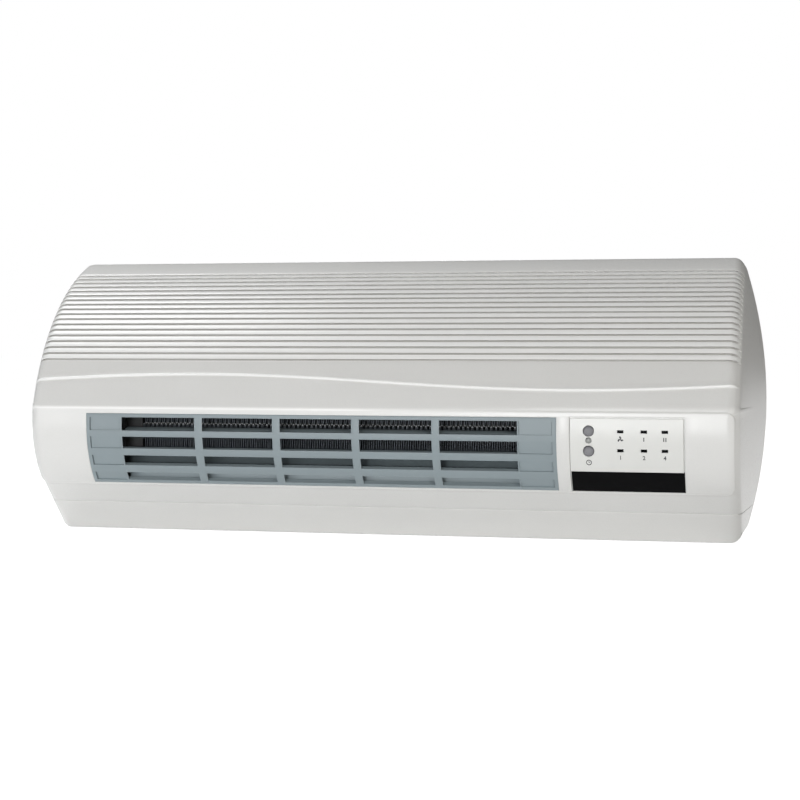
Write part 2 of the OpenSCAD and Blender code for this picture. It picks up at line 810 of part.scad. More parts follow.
module buzzer() color("black") from_underside() {
    difference() {
        rod_y(control_x - 6, control_z1 + 60, -control_y - 8, -control_y, 6);
        rod_y(control_x - 6, control_z1 + 60, -control_y - 9, -control_y - 7, 1);
    }
}

module terminal_block() color("ivory") from_underside() {
    x1 = control_x - 20;
    way = 10;
    difference() {
        block([x1, inner_y - 14, 12], [x1 + 4 * way, inner_y, 30]);
        for (i = [0:3]) {
            rod_y(x1 + way * (i + 0.5), 21, inner_y - 15, inner_y - 9, 3);
            block([x1 + way * (i + 0.5) - 2.5, inner_y - 8, 11],
                  [x1 + way * (i + 0.5) + 2.5, inner_y - 3, 31]);
        }
    }
}

module cable_grommet() color("#252525") from_underside() {
    r = cable_dia / 2;
    translate([cable_x, inner_y, cable_z]) rotate([-90, 0, 0]) rotate_extrude()
        polygon([[r, -3], [r + 4, -3], [r + 4, 0], [r + 2, 0], [r + 2, wall_t],
                 [r + 4, wall_t], [r + 4, wall_t + 1.5], [r, wall_t + 1.5]]);
}

module ribbon_cable() color("lightgray") from_underside() {
    w = 1;
    y1 = -display_y + board_t;
    y2 = -control_y;
    x1 = panel_x2 - 12;
    x2 = control_x + 18;
    translate([0, 0, display_z1 + 8]) linear_extrude(12) polygon([
        [x1 - w, y1], [x1 - w, y1 + 12.3], [x2 - w, y2 - 29.7], [x2 - w, y2],
        [x2, y2], [x2, y2 - 30], [x1, y1 + 12], [x1, y1]]);
}

// ---- Fan duct ----

scroll_c = fan_c + [-2, -2];
function scroll_line(r, z) =                // where the slope at radius r reaches height z
    let (p = scroll_c + r * polar(-45)) [p.x - (p.y - z), z];

module fan_duct() color("#3a3f42") from_underside() {
    r2 = scroll_r + duct_t;
    along_x(duct_x1 - duct_t, duct_x2 + duct_t) polygon(concat(
        arc(scroll_c, scroll_r, 20, -45, 12),
        [scroll_line(scroll_r, floor_z), [element_back, floor_z],
         [element_back, floor_z - duct_t],
         scroll_line(r2, floor_z - duct_t)],
        arc(scroll_c, r2, -45, 20, 12)));
    for (x = [duct_x1 - duct_t, duct_x2]) difference() {
        along_x(x, x + duct_t) intersection() {
            polygon([[inner_y, floor_z - duct_t], [-element_y - 1, floor_z - duct_t - 4],
                     [-element_y - 1, tray_top + 6], [-element_y + 4, tray_top + 20],
                     [fan_c.x - fan_r - 5, fan_z + 6], [fan_c.x - 13, fan_z + fan_r + 2],
                     [inner_y, fan_z + fan_r + 2]]);
            side_shape(wall_t + 1);
        }
        if (x < 0) rod_x(fan_c.x, fan_c.y, x - 1, x + duct_t + 1, holder_r);
        else rod_x(fan_c.x, fan_c.y, x - 1, x + duct_t + 1, 12);
        if (x > 0) for (c = motor_post) rod_x(c.x, c.y, x - 1, x + duct_t + 1, thread_r + hole_play);
        if (x > 0) for (z = terminal_z) rod_x(-element_y + 7, z + 0.4, x - 1, x + duct_t + 1, 1.6);
    }
    // collar that holds the bearing
    difference() {
        rod_x(fan_c.x, fan_c.y, duct_x1 - duct_t - 8, duct_x1 - duct_t, holder_r + 2);
        rod_x(fan_c.x, fan_c.y, duct_x1 - duct_t - 9, duct_x1, holder_r);
    }
    // posts that reach the rear shell
    difference() {
        intersection() {
            for (c = duct_post) rod_y(c.x, c.y, -20, inner_y, boss_r);
            along_x(-far, far) difference() {
                translate([-20, 0]) square([20, body_h]);
                translate(scroll_c) circle(scroll_r + duct_t / 2);
            }
        }
        for (c = duct_post) rod_y(c.x, c.y, -10.5, 0, thread_r);
    }
}

module air_tongue() color("#3a3f42") from_underside() {
    foot = [element_back, tray_top];
    lean = 2.5;
    reach = fan_c.x - foot.x + lean;
    tip = [foot.x - lean, fan_z - sqrt(pow(fan_r + tongue_gap, 2) - pow(reach, 2))];
    along_x(duct_x1, duct_x2) polygon([
        foot + [-2, 0], foot, tip + [1.6, -0.6], tip + [0.4, 1.2], tip + [-6, 12],
        tip + [-7.8, 11.6], tip + [-1.6, 0.4], tip + [-0.6, -1.6]]);
}

// ---- Heating element ----

element_x1 = duct_x1 + end_l1;
element_x2 = duct_x2 - end_l2;
element_back = -element_y + element_d;

module element_tray() color("dimgray") from_underside() {
    f = -element_y - tray_t;
    back = scroll_line(scroll_r, core_z1).x - 6.2;
    along_x(duct_x1, duct_x2) {
        polygon([[f, floor_z - 8], [f + tray_t, floor_z - 8], [f + tray_t, floor_z],
                 [back, floor_z], [back, core_z1], [f, core_z1]]);
        polygon([[f, core_z2], [element_back, core_z2], [element_back, tray_top],
                 [f + tray_t, tray_top], [f + tray_t, tray_top + 5], [f, tray_top + 5]]);
    }
}

// One folded strip, drawn from the side that the air leaves
module fin_strip(z1) {
    n = floor((element_x2 - element_x1 - 1) / fin_pitch);
    p = (element_x2 - element_x1) / n;
    flat = 0.3 * p;
    slope = p / 2 - flat;
    lean = fin_t * norm([slope, fin_h]) / fin_h;
    h = fin_h;
    lower = [for (i = [0:n - 1]) each [
        [i * p + lean, 0], [i * p + flat, 0], [i * p + flat + slope, h - fin_t],
        [i * p + p / 2 + flat - lean, h - fin_t]]];
    upper = [for (i = [n - 1:-1:0]) each [
        [i * p + p - slope + lean - lean, h], [i * p + p / 2, h],
        [i * p + flat - lean, fin_t], [i * p + lean, fin_t]]];
    translate([element_x1, element_back, z1]) rotate([90, 0, 0])
        linear_extrude(element_d) polygon(concat(lower, upper));
}

module element_fins() color("lightgray") from_underside() {
    for (i = [0:2]) fin_strip(core_z1 + i * (fin_h + tube_h));
}

module heating_tubes() color("darkgray") from_underside() {
    for (i = [0:1]) {
        z = core_z1 + fin_h + i * (fin_h + tube_h);
        block([element_x1 - 6, -element_y, z], [element_x2 + 6, element_back, z + tube_h]);
    }
}

module element_end_blocks() color("#26282a") from_underside() {
    for (x = [[duct_x1, element_x1], [element_x2, duct_x2]]) difference() {
        block([x[0], -element_y, core_z1], [x[1], element_back, core_z2]);
        for (i = [0:1]) {
            z = core_z1 + fin_h + i * (fin_h + tube_h);
            block([element_x1 - 6, -element_y - 1, z],
                  [element_x2 + 6, element_back + 1, z + tube_h]);
        }
        if (x[0] > 0) for (z = terminal_z)
            block([element_x2 + 6, -element_y + 4, z], [duct_x2 + 1, -element_y + 10.3, z + 0.8]);
    }
}

terminal_z = [for (i = [0:1]) core_z1 + fin_h + i * (fin_h + tube_h) + tube_h / 2 - 0.4];

module element_terminals() color("goldenrod") from_underside() {
    for (z = terminal_z)
        block([element_x2 + 6, -element_y + 4, z], [duct_x2, -element_y + 10.3, z + 0.8]);
}

// ---- Safety devices ----

module thermal_cutout() color("silver") from_underside() {
    x = safety_x;
    y = -element_y + 7;
    translate([x, y, tray_top]) {
        cylinder(h = 1, r = 6.8);
        cylinder(h = 8, r = 6);
        for (s = [-1, 1]) translate([s * 4 - 0.4, -3, 8]) cube([0.8, 6, 6]);
    }
}

module thermal_fuse() color("white") from_underside() {
    x = -safety_x;
    y = -element_y + 7;
    translate([x, y, tray_top]) {
        for (s = [-1, 1]) translate([s * 12 - 1, -3, 0]) cube([2, 6, 6]);
        translate([-11, 0, 3]) rotate([0, 90, 0]) cylinder(h = 22, r = 2.5);
    }
}

// ---- Fan ----

module impeller() color("#4a4f52") from_underside() {
    disc_t = 2;
    step = (fan_x2 - fan_x1 - disc_t) / (disc_n - 1);
    difference() {
        union() {
            for (i = [0:disc_n - 1]) {
                x = fan_x1 + i * step;
                difference() {
                    rod_x(fan_c.x, fan_c.y, x, x + disc_t, fan_r);
                    if (i > 0 && i < disc_n - 1)
                        rod_x(fan_c.x, fan_c.y, x - 1, x + disc_t + 1, fan_r - blade_w - 2);
                }
            }
            translate([0, fan_c.x, fan_c.y]) for (i = [0:blade_n - 1])
                rotate([360 / blade_n * i, 0, 0]) translate([fan_x1, fan_r - blade_w - 0.4, 0])
                    rotate([24, 0, 0]) translate([0, 0, -blade_t])
                        cube([fan_x2 - fan_x1, blade_w - 0.6, blade_t]);
            rod_x(fan_c.x, fan_c.y, fan_x1, fan_x1 + 12, 6);
            rod_x(fan_c.x, fan_c.y, fan_x2 - 14, fan_x2, 8);
        }
        rod_x(fan_c.x, fan_c.y, fan_x1 - 1, fan_x1 + 10, shaft_dia / 2);
        rod_x(fan_c.x, fan_c.y, fan_x2 - 12, fan_x2 + 1, shaft_dia / 2);
    }
}

module stub_shaft() color("silver") from_underside() {
    rod_x(fan_c.x, fan_c.y, stub_x1 + 4, fan_x1 + 10, shaft_dia / 2);
}

bush_r = shaft_dia / 2 + 2.5;
holder_r = bush_r + 4;
bush_x1 = duct_x1 - duct_t - 8;

module bearing_bush() color("peru") from_underside() {
    difference() {
        rod_x(fan_c.x, fan_c.y, bush_x1, bush_x1 + 8, bush_r);
        rod_x(fan_c.x, fan_c.y, bush_x1 - 1, bush_x1 + 9, shaft_dia / 2 + bearing_gap);
    }
}

module bearing_holder() color("#1c1c1c") from_underside() {
    difference() {
        rod_x(fan_c.x, fan_c.y, bush_x1, bush_x1 + 8, holder_r);
        rod_x(fan_c.x, fan_c.y, bush_x1 - 1, bush_x1 + 9, bush_r);
    }
}

// ---- Motor ----

rotor_r = rotor_dia / 2;
core_w = 2 * (fan_r - core_in);
low_z = fan_z - fan_r - 14;                 // lower end of the core
high_z = fan_z + core_w / 2 + 1;
leg_w = 10;
coil_z1 = low_z + leg_w + 1;
coil_z2 = fan_z - rotor_r - 6;
motor_post = [for (s = [-1, 1]) fan_c + [s, 1] * (core_w / 2 - 5)];

module motor_core() color("slategray") from_underside() {
    y1 = fan_c.x - core_w / 2;
    y2 = fan_c.x + core_w / 2;
    difference() {
        block([core_x1, y1, low_z], [core_x2, y2, high_z]);
        rod_x(fan_c.x, fan_c.y, core_x1 - 1, core_x2 + 1, rotor_r + air_gap);
        block([core_x1 - 1, y1 + leg_w, low_z + leg_w], [core_x2 + 1, y2 - leg_w, coil_z2 + 1]);
        for (c = motor_post) rod_x(c.x, c.y, core_x1 - 1, core_x2 + 1, thread_r + hole_play);
    }
}

module motor_coil() color("saddlebrown") from_underside() {
    y1 = fan_c.x - core_w / 2;
    y2 = y1 + 2 * leg_w - 1;
    difference() {
        block([core_x1 - 6, y1 - 6, coil_z1], [core_x2 + 6, y2, coil_z2]);
        block([core_x1, y1, coil_z1 - 1], [core_x2, y1 + leg_w, coil_z2 + 1]);
    }
}

module motor_rotor() color("dimgray") from_underside() {
    difference() {
        rod_x(fan_c.x, fan_c.y, core_x1, core_x2, rotor_r);
        rod_x(fan_c.x, fan_c.y, core_x1 - 1, core_x2 + 1, shaft_dia / 2);
    }
}

module motor_shaft() color("silver") from_underside() {
    rod_x(fan_c.x, fan_c.y, fan_x2 - 12, motor_end + 2, shaft_dia / 2);
}

// Cast bracket with its bearing, against one face of the core
module motor_bracket(x, out) {
    x1 = min(x, x + out * bracket_t);
    boss1 = min(x + out * bracket_t, x + out * 7);
    difference() {
        union() {
            block([x1, fan_c.x - core_w / 2, fan_z - 9],
                  [x1 + bracket_t, fan_c.x + core_w / 2, high_z]);
            rod_x(fan_c.x, fan_c.y, boss1, boss1 + 5, 7);
        }
        rod_x(fan_c.x, fan_c.y, x1 - 10, x1 + 12, shaft_dia / 2 + bearing_gap);
        for (c = motor_post) rod_x(c.x, c.y, x1 - 1, x1 + bracket_t + 1, thread_r + hole_play);
    }
}

module motor_brackets() color("gainsboro") from_underside() {
    // the recess keeps each bracket off the turning rotor
    difference() {
        union() {
            motor_bracket(core_x1, -1);
            motor_bracket(core_x2, 1);
        }
        rod_x(fan_c.x, fan_c.y, core_x1 - 0.4, core_x2 + 0.4, rotor_r + air_gap);
    }
}

module motor_spacers() color("#1c1c1c") from_underside() {
    for (c = motor_post) difference() {
        rod_x(c.x, c.y, duct_x2 + duct_t, core_x1 - bracket_t, 4);
        rod_x(c.x, c.y, duct_x2, core_x1, thread_r + hole_play);
    }
}

// ---- Wires ----

module heater_wires() color("firebrick") from_underside() {
    for (i = [0:1]) {
        z = terminal_z[i] + 0.4;
        wire([[duct_x2 + 0.01, -element_y + 7, z], [duct_x2 + duct_t, -element_y + 7, z],
              [duct_x2 + 14, -element_y + 8, z - 2], [duct_x2 + 30, -element_y + 16, z - 8],
              [control_x - 16, -54, 54 + 5 * i], [control_x - 10 + 14 * i, -40, 56],
              [control_x - 10 + 14 * i, -control_y - 15.5, 56]], 1.2);
    }
}

module motor_wires() color("royalblue") from_underside() {
    for (i = [0:1]) {
        z = (coil_z1 + coil_z2) / 2 + 4 * i;
        wire([[core_x2 + 6, fan_c.x - core_w / 2, z], [core_x2 + 9, fan_c.x - core_w / 2, z],
              [core_x2 + 14, -48, z - 2], [control_x1 + 6, -34, 88 + 5 * i],
              [control_x1 + 8, -26, 84 + 5 * i], [control_x1 + 8, -control_y, 84 + 5 * i]], 0.9);
    }
}

// ---- Screws and pads ----

module cover_screws() color("silver") from_underside() {
    for (c = cover_boss) screw_y(c.x, c.y, shell_y, inner_y - 11, 3.2, 1.6, thread_r);
}

module duct_screws() color("silver") from_underside() {
    for (c = duct_post) screw_y(c.x, c.y, shell_y, -10, 3.2, 1.6, thread_r);
}

module board_screws() color("silver") from_underside() {
    for (c = control_post) screw_y(c.x, c.y, -control_y, inner_y - 1, 2.6, 1.6, thread_r);
    for (c = display_post)
        screw_y(c.x, c.y, -display_y + board_t, -display_y - 4, 2.6, 1.6, thread_r);
}

module base_screws() color("silver") from_underside() {
    for (x = lug_xs) translate([x, inner_y - 8, 0.2]) {
        cylinder(h = 0.8, r = 2.6);
        cylinder(h = wall_t + 6, r = thread_r);
    }
}

module motor_screws() color("silver") from_underside() {
    for (c = motor_post) {
        rod_x(c.x, c.y, duct_x2 - 1.6, duct_x2, 2.6);
        rod_x(c.x, c.y, duct_x2 - 1, core_x2 + bracket_t + 3, thread_r);
        rod_x(c.x, c.y, core_x2 + bracket_t, core_x2 + bracket_t + 2.2, 2.8);
    }
}

module wall_pads() color("#303030") from_underside() {
    for (x = [-1, 1] * pad_x, z = pad_zs) rod_y(x, z, shell_y, 0, pad_dia / 2);
}

wall_plate();
rear_shell();
front_cover();
base_cover();
outlet_grille();
label_plate();
receiver_window();
light_windows();
status_lens();
power_button();
timer_button();
power_plunger();
timer_plunger();
tact_switches();
indicator_leds();
infrared_receiver();
display_board();
ribbon_cable();
control_board();
relays();
capacitors();
buzzer();
terminal_block();
cable_grommet();
fan_duct();
air_tongue();
element_tray();
element_fins();
heating_tubes();
element_end_blocks();
element_terminals();
thermal_cutout();
thermal_fuse();
impeller();
stub_shaft();
motor_shaft();
motor_rotor();
bearing_bush();
bearing_holder();
motor_core();
motor_coil();
motor_brackets();
motor_spacers();
heater_wires();
motor_wires();
cover_screws();
base_screws();
duct_screws();
board_screws();
motor_screws();
wall_pads();
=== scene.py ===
from math import acos, cos, hypot, pi, radians, sin, sqrt, tan

import bpy
from mathutils import Matrix, Vector


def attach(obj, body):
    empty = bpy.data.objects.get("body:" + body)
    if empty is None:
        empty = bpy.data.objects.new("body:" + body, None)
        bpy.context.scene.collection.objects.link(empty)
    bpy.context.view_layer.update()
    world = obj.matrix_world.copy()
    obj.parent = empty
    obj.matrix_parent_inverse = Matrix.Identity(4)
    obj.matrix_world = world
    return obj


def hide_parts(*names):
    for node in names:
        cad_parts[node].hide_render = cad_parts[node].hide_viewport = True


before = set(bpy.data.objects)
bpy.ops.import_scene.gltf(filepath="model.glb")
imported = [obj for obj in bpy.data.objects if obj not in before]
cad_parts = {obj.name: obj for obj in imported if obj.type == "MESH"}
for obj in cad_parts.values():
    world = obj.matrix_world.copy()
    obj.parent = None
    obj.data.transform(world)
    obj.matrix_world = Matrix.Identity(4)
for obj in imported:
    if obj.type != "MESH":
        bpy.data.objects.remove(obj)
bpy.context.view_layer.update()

# ---- Wall plate ----
# Galvanised sheet steel, 1.5 mm thick, screwed flat to the wall through four holes.
# Two hooks are cut from the sheet and bent forward and up, and the heater hangs on them.

mm = 0.001
screw_z = 125                    # heights are measured from the underside, the frame from the screws


def spot(x, y, z):
    """Place of a point given in millimetres, with its height above the underside."""
    return Vector((x * mm, y * mm, (z - screw_z) * mm))


def applied():
    """The object just added, with its size and turn made part of its shape."""
    bpy.ops.object.transform_apply(location=True, rotation=True, scale=True)
    return bpy.context.object


def block(x1, x2, y1, y2, z1, z2):
    """Adds a block between two corners."""
    bpy.ops.mesh.primitive_cube_add(
        size=1, location=spot((x1 + x2) / 2, (y1 + y2) / 2, (z1 + z2) / 2),
        scale=((x2 - x1) * mm, (y2 - y1) * mm, (z2 - z1) * mm))
    return applied()


def rod(start, end, radius, sides=32):
    """Adds a round rod between two points."""
    first, last = spot(*start), spot(*end)
    line = last - first
    bpy.ops.mesh.primitive_cylinder_add(
        vertices=sides, radius=radius * mm, depth=line.length, location=(first + last) / 2,
        rotation=line.to_track_quat("Z", "Y").to_euler())
    return applied()


def modify(piece, kind, **settings):
    """Adds a modifier to a piece and applies it."""
    bpy.context.view_layer.objects.active = piece
    tool = piece.modifiers.new("tool", kind)
    for name, value in settings.items():
        setattr(tool, name, value)
    bpy.ops.object.modifier_apply(modifier=tool.name)


def cut(piece, *others):
    """Cuts other objects from a piece, one after the other, and removes them."""
    for other in others:
        modify(piece, "BOOLEAN", object=other, operation="DIFFERENCE", solver="EXACT")
        bpy.data.objects.remove(other)


def soften(piece, width, segments=2, angle=35):
    """Rounds the edges that are sharper than an angle."""
    modify(piece, "BEVEL", width=width * mm, segments=segments, limit_method="ANGLE",
           angle_limit=radians(angle), use_clamp_overlap=True, miter_outer="MITER_ARC")


def edit_all():
    """Enters edit mode with everything selected."""
    bpy.ops.object.mode_set(mode="EDIT")
    bpy.ops.mesh.select_all(action="SELECT")


def activate(piece):
    """Makes a piece the only selected object and the active one."""
    bpy.ops.object.select_all(action="DESELECT")
    piece.select_set(True)
    bpy.context.view_layer.objects.active = piece


def copy_of(node):
    """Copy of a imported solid, with its loose triangles merged to whole faces."""
    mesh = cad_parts[node].data.copy()
    piece = bpy.data.objects.new(node + "_copy", mesh)
    bpy.context.scene.collection.objects.link(piece)
    activate(piece)
    edit_all()
    bpy.ops.mesh.remove_doubles(threshold=0.00001)
    bpy.ops.mesh.dissolve_limited(angle_limit=radians(1))
    bpy.ops.object.mode_set(mode="OBJECT")
    return piece


def turned(outline, middle, axis, steps=48):
    """Spins an outline round an axis. It gives places along the axis and their radii."""
    along = Vector(axis)
    aside = Vector((1, 0, 0)) if abs(along.z) > 0.5 else Vector((0, 0, 1))
    bpy.ops.mesh.primitive_circle_add(vertices=len(outline), radius=mm)
    piece = bpy.context.object
    for point, (distance, radius) in zip(piece.data.vertices, outline):
        point.co = spot(*middle) + (along * distance + aside * radius) * mm
    edit_all()
    bpy.ops.mesh.spin(steps=steps, angle=2 * pi, center=spot(*middle), axis=along)
    bpy.ops.mesh.select_all(action="SELECT")
    bpy.ops.mesh.remove_doubles(threshold=0.000002)
    bpy.ops.mesh.dissolve_degenerate(threshold=0.000001)
    bpy.ops.mesh.delete_loose()
    bpy.ops.mesh.select_all(action="SELECT")
    bpy.ops.mesh.normals_make_consistent(inside=False)
    bpy.ops.object.mode_set(mode="OBJECT")
    return piece


def join(piece, *others):
    """Makes several objects one."""
    activate(piece)
    for other in others:
        other.select_set(True)
    bpy.ops.object.join()
    return piece


def copies(piece, moves):
    """Joins moved copies of a piece on to it."""
    others = []
    for move in moves:
        other = piece.copy()
        other.data = piece.data.copy()
        other.data.transform(move)
        bpy.context.scene.collection.objects.link(other)
        others.append(other)
    return join(piece, *others)


def finish(piece, name, material, slot, *nodes, body="housing", smooth=35, level=True):
    """Names a piece, smooths and paints it, and hands it to its body. Its large faces keep
    their flat look if level is set."""
    piece.name = name
    piece.data.name = name
    piece.data.materials.clear()
    piece.data.materials.append(material)
    activate(piece)
    bpy.ops.object.shade_smooth_by_angle(angle=radians(smooth))
    if level:
        modify(piece, "WEIGHTED_NORMAL", keep_sharp=True)
    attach(piece, body)
    if nodes:
        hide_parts(*nodes)
    return piece


def dressed(node, width, name, material, slot, segments=2, angle=35, body="housing"):
    """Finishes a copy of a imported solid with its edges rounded."""
    piece = copy_of(node)
    soften(piece, width, segments, angle)
    finish(piece, name, material, slot, node, body=body)


def feed(owner, socket, value):
    """Links another node's output to a socket, or sets the socket to a value."""
    if isinstance(value, bpy.types.NodeSocket):
        owner.node_tree.links.new(value, socket)
    else:
        socket.default_value = value


def set_inputs(owner, node, **inputs):
    """Feeds inputs of a shader node. In their names _ stands for a space."""
    for name, value in inputs.items():
        feed(owner, node.inputs[name.replace("_", " ")], value)


def add_node(owner, kind, setting=None, **inputs):
    """Adds a shader node with one setting of its own and some of its inputs."""
    node = owner.node_tree.nodes.new("ShaderNode" + kind)
    if setting:
        setattr(node, *setting)
    set_inputs(owner, node, **inputs)
    return node


def ramp(owner, value, low, high, to_low=0, to_high=1):
    """Output that goes from to_low to to_high while a value goes from low to high."""
    return add_node(owner, "MapRange", Value=value, From_Min=low, From_Max=high, To_Min=to_low,
                    To_Max=to_high).outputs["Result"]


def shader_of(material):
    """The surface shader of a material."""
    return material.node_tree.nodes["Principled BSDF"]


def coating(name, colour, rough, grain, relief, mottle=0.03, metal=0, streak=(1, 1, 1),
            spread=0.06, coat=0):
    """Material with slow colour variation, fine grain in relief and uneven gloss."""
    material = bpy.data.materials.new(name)
    material.use_nodes = True
    place = add_node(material, "TexCoord").outputs["Object"]
    turn = add_node(material, "Mapping", Vector=place, Scale=streak).outputs["Vector"]
    broad = add_node(material, "TexNoise", Vector=turn, Scale=22, Detail=3)
    shade = add_node(material, "ValToRGB", Fac=broad.outputs["Fac"])
    for i, position, level in ((0, 0.3, 1 - mottle), (1, 0.7, 1 + mottle)):
        shade.color_ramp.elements[i].position = position
        shade.color_ramp.elements[i].color = [min(c * level, 1) for c in colour] + [1]
    fine = add_node(material, "TexNoise", Vector=turn, Scale=grain, Detail=5,
                    Roughness=0.6).outputs["Fac"]
    gloss = ramp(material, fine, 0.3, 0.7, max(rough - spread, 0.02), rough + spread)
    bump = add_node(material, "Bump", Height=fine, Strength=0.6, Distance=relief)
    set_inputs(material, shader_of(material), Base_Color=shade.outputs["Color"], Roughness=gloss,
               Normal=bump.outputs["Normal"], Metallic=metal, Coat_Weight=coat)
    return material


zinc = coating("zinc_steel", (0.62, 0.63, 0.64), 0.36, 900, 0.00002, 0.10, 1, (1, 1, 1), 0.1)
dressed("wall_plate", 0.3, "wall_plate_sheet", zinc, "zinc_steel", body="wall_mount")

# ---- Rear shell ----
# Flat back of the housing, moulded in white plastic. Its two slots drop over the plate's hooks,
# and all that is inside is screwed to it.


def tint(material, factor, colour):
    """Lays a colour over a material's own colour wherever a factor is 1."""
    own = shader_of(material).inputs["Base Color"].links[0].from_socket
    mix = add_node(material, "Mix", ("data_type", "RGBA"), Factor=factor, A=own, B=(*colour, 1))
    set_inputs(material, shader_of(material), Base_Color=mix.outputs["Result"])


# Painted shade darkens the cover's grooves and the face between its ribs and band, and painted
# highlights lighten its wave, the edges of its band and its ribs.
shell_white = coating("white_shell", (0.775, 0.775, 0.762), 0.30, 2600, 0.00003, 0.012)
for name, colour in (("painted_shade", (0.56, 0.55, 0.53)), ("painted_highlight", (0.95, 0.95, 0.94))):
    layer = add_node(shell_white, "Attribute", ("attribute_name", name))
    tint(shell_white, layer.outputs["Fac"], colour)
dressed("rear_shell", 0.3, "rear_shell_moulding", shell_white, "white_shell")

# ---- Wall pads and cable grommet ----
# Four soft rubber pads hold the back of the housing off the wall. A rubber grommet with a groove
# round it lines the round hole low in the rear shell.

pad_rubber = coating("pad_rubber", (0.025, 0.025, 0.027), 0.75, 1500, 0.00008, 0.15)
pad_outline = ((0.05, 0), (0.05, 4.6), (0.5, 5), (0.5, 6.2), (0.9, 6.8), (1.4, 7), (3.9, 7),
               (3.9, 0))
pads = []
for x in (-170, 170):
    for z in (16, 60):
        pads.append(turned(pad_outline, (x, 0, z), (0, -1, 0)))
finish(join(*pads), "wall_pad_set", pad_rubber, "black_rubber", "wall_pads")

soft_rubber = coating("soft_rubber", (0.018, 0.018, 0.019), 0.55, 2400, 0.00003, 0.12)
grommet_outline = ((0, 4.3), (0.3, 4), (6.7, 4), (7, 4.3), (7, 7.5), (6.6, 8),
                   (4.4, 8), (4, 7.7), (4, 6), (1.5, 6), (1.5, 7.7), (1.2, 8),
                   (0.4, 8), (0, 7.6))
finish(turned(grommet_outline, (138, -2.5, 32), (0, -1, 0)),
       "grommet_ring", soft_rubber, "black_rubber", "cable_grommet")

# ---- Fan duct and air tongue ----
# Dark moulding that curls round the fan and leads the air down to the element. The tongue is a
# moulded wedge whose tip runs close to the blades.

duct_plastic = coating("duct_plastic", (0.032, 0.034, 0.037), 0.48, 2600, 0.00003, 0.06)
dressed("fan_duct", 0.3, "duct_scroll", duct_plastic, "dark_plastic")
dressed("air_tongue", 0.25, "tongue_wedge", duct_plastic, "dark_plastic")

# ---- Cross-flow impeller ----
# Dark moulded rings carry 24 curved blades. Its left end runs on a steel stub in a bronze bush
# held in rubber, and the motor's shaft is pressed into the hub at its right end.

fan_y = -47
fan_z = 116
fan_x1 = -166
fan_x2 = 108
ring_step = 54.4
fan_grey = coating("fan_grey", (0.055, 0.06, 0.064), 0.42, 2600, 0.00002, 0.06)


def drum(length, radius, ease, bore=0):
    """Outline of a round part with eased edges."""
    return ((0, bore), (0, radius - ease), (ease, radius), (length - ease, radius),
            (length, radius - ease), (length, bore))


def on_shaft(outline, x, steps=48, way=1):
    """Spins an outline round the fan's axis, from a place x to the right or left."""
    return turned(outline, (x, fan_y, fan_z), (way, 0, 0), steps)


disc_rim = ((0, 29.7), (0.3, 30), (1.7, 30), (2, 29.7))
ring = (*disc_rim, (2, 20.3), (1.7, 20), (0.3, 20), (0, 20.3))
left_end = (*disc_rim, (2, 7), (3, 6), (11.6, 6), (12, 5.6), (12, 0), (10, 0), (10, 3), (0, 3))
right_end = (*disc_rim, (2, 9), (3, 8), (13.6, 8), (14, 7.6), (14, 0), (12, 0), (12, 3), (0, 3))
discs = [on_shaft(left_end, fan_x1, 72), on_shaft(right_end, fan_x2, 72, -1)]
discs += [on_shaft(ring, fan_x1 + ring_step * i, 72) for i in (1, 2, 3, 4)]

# One blade: a strip bent along a curve that turns from straight out to a slant.
steps = 7
blade_w = 8
blade_n = 24
bpy.ops.mesh.primitive_grid_add(x_subdivisions=1, y_subdivisions=steps, size=1)
blade = bpy.context.object
line = [(21.9, 0)]
for i in range(steps):
    heading = radians(-6 + 52 * (i + 0.5) / steps)
    line.append((line[-1][0] + blade_w / steps * cos(heading),
                 line[-1][1] + blade_w / steps * sin(heading)))
for point in blade.data.vertices:
    out, side = line[round((point.co.y + 0.5) * steps)]
    x = fan_x1 + 1 + (fan_x2 - fan_x1 - 2) * (point.co.x + 0.5)
    point.co = spot(x, fan_y + side, fan_z + out)
modify(blade, "SOLIDIFY", thickness=0.7 * mm, offset=0)
middle = Matrix.Translation(spot(0, fan_y, fan_z))
blade = copies(blade, [middle @ Matrix.Rotation(2 * pi * i / blade_n, 4, "X") @ middle.inverted()
                       for i in range(1, blade_n)])
finish(join(blade, *discs), "crossflow_fan", fan_grey, "fan_plastic", "impeller", body="fan_rotor")

ground_steel = coating("ground_steel", (0.66, 0.66, 0.67), 0.2, 900, 0.00001, 0.05, 1,
                       (30, 1, 1), 0.07)
finish(on_shaft(drum(25.5, 3, 0.5), -181.5), "stub_pin", ground_steel, "bright_steel",
       "stub_shaft", body="fan_rotor")

bronze = coating("sintered_bronze", (0.62, 0.38, 0.17), 0.42, 1600, 0.00004, 0.14, 1)
bush = ((0, 3.5), (0, 5.1), (0.4, 5.5), (7.6, 5.5), (8, 5.1), (8, 3.5), (7.6, 3.1),
        (0.4, 3.1))
finish(on_shaft(bush, -179.7), "bronze_bush", bronze, "brass", "bearing_bush")

holder = ((0, 5.5), (0, 9.1), (0.4, 9.5), (2.4, 9.5), (2.8, 9), (3.4, 9), (3.8, 9.5),
          (4.6, 9.5), (5, 9), (5.6, 9), (6, 9.5), (7.6, 9.5), (8, 9.1), (8, 5.5))
finish(on_shaft(holder, -179.7), "rubber_holder", soft_rubber, "black_rubber", "bearing_holder")

# ---- Motor ----
# Stack of steel sheets with a copper coil on one leg. The rotor turns between two cast
# brackets, and two long screws with spacers hold the motor on the end wall of the duct.

core_left = 125.2
stack_steel = coating("stack_steel", (0.16, 0.17, 0.19), 0.45, 400, 0.00006, 0.3, 0.9,
                      (70, 1, 1), 0.12)
dressed("motor_core", 0.35, "core_stack", stack_steel, "core_steel")

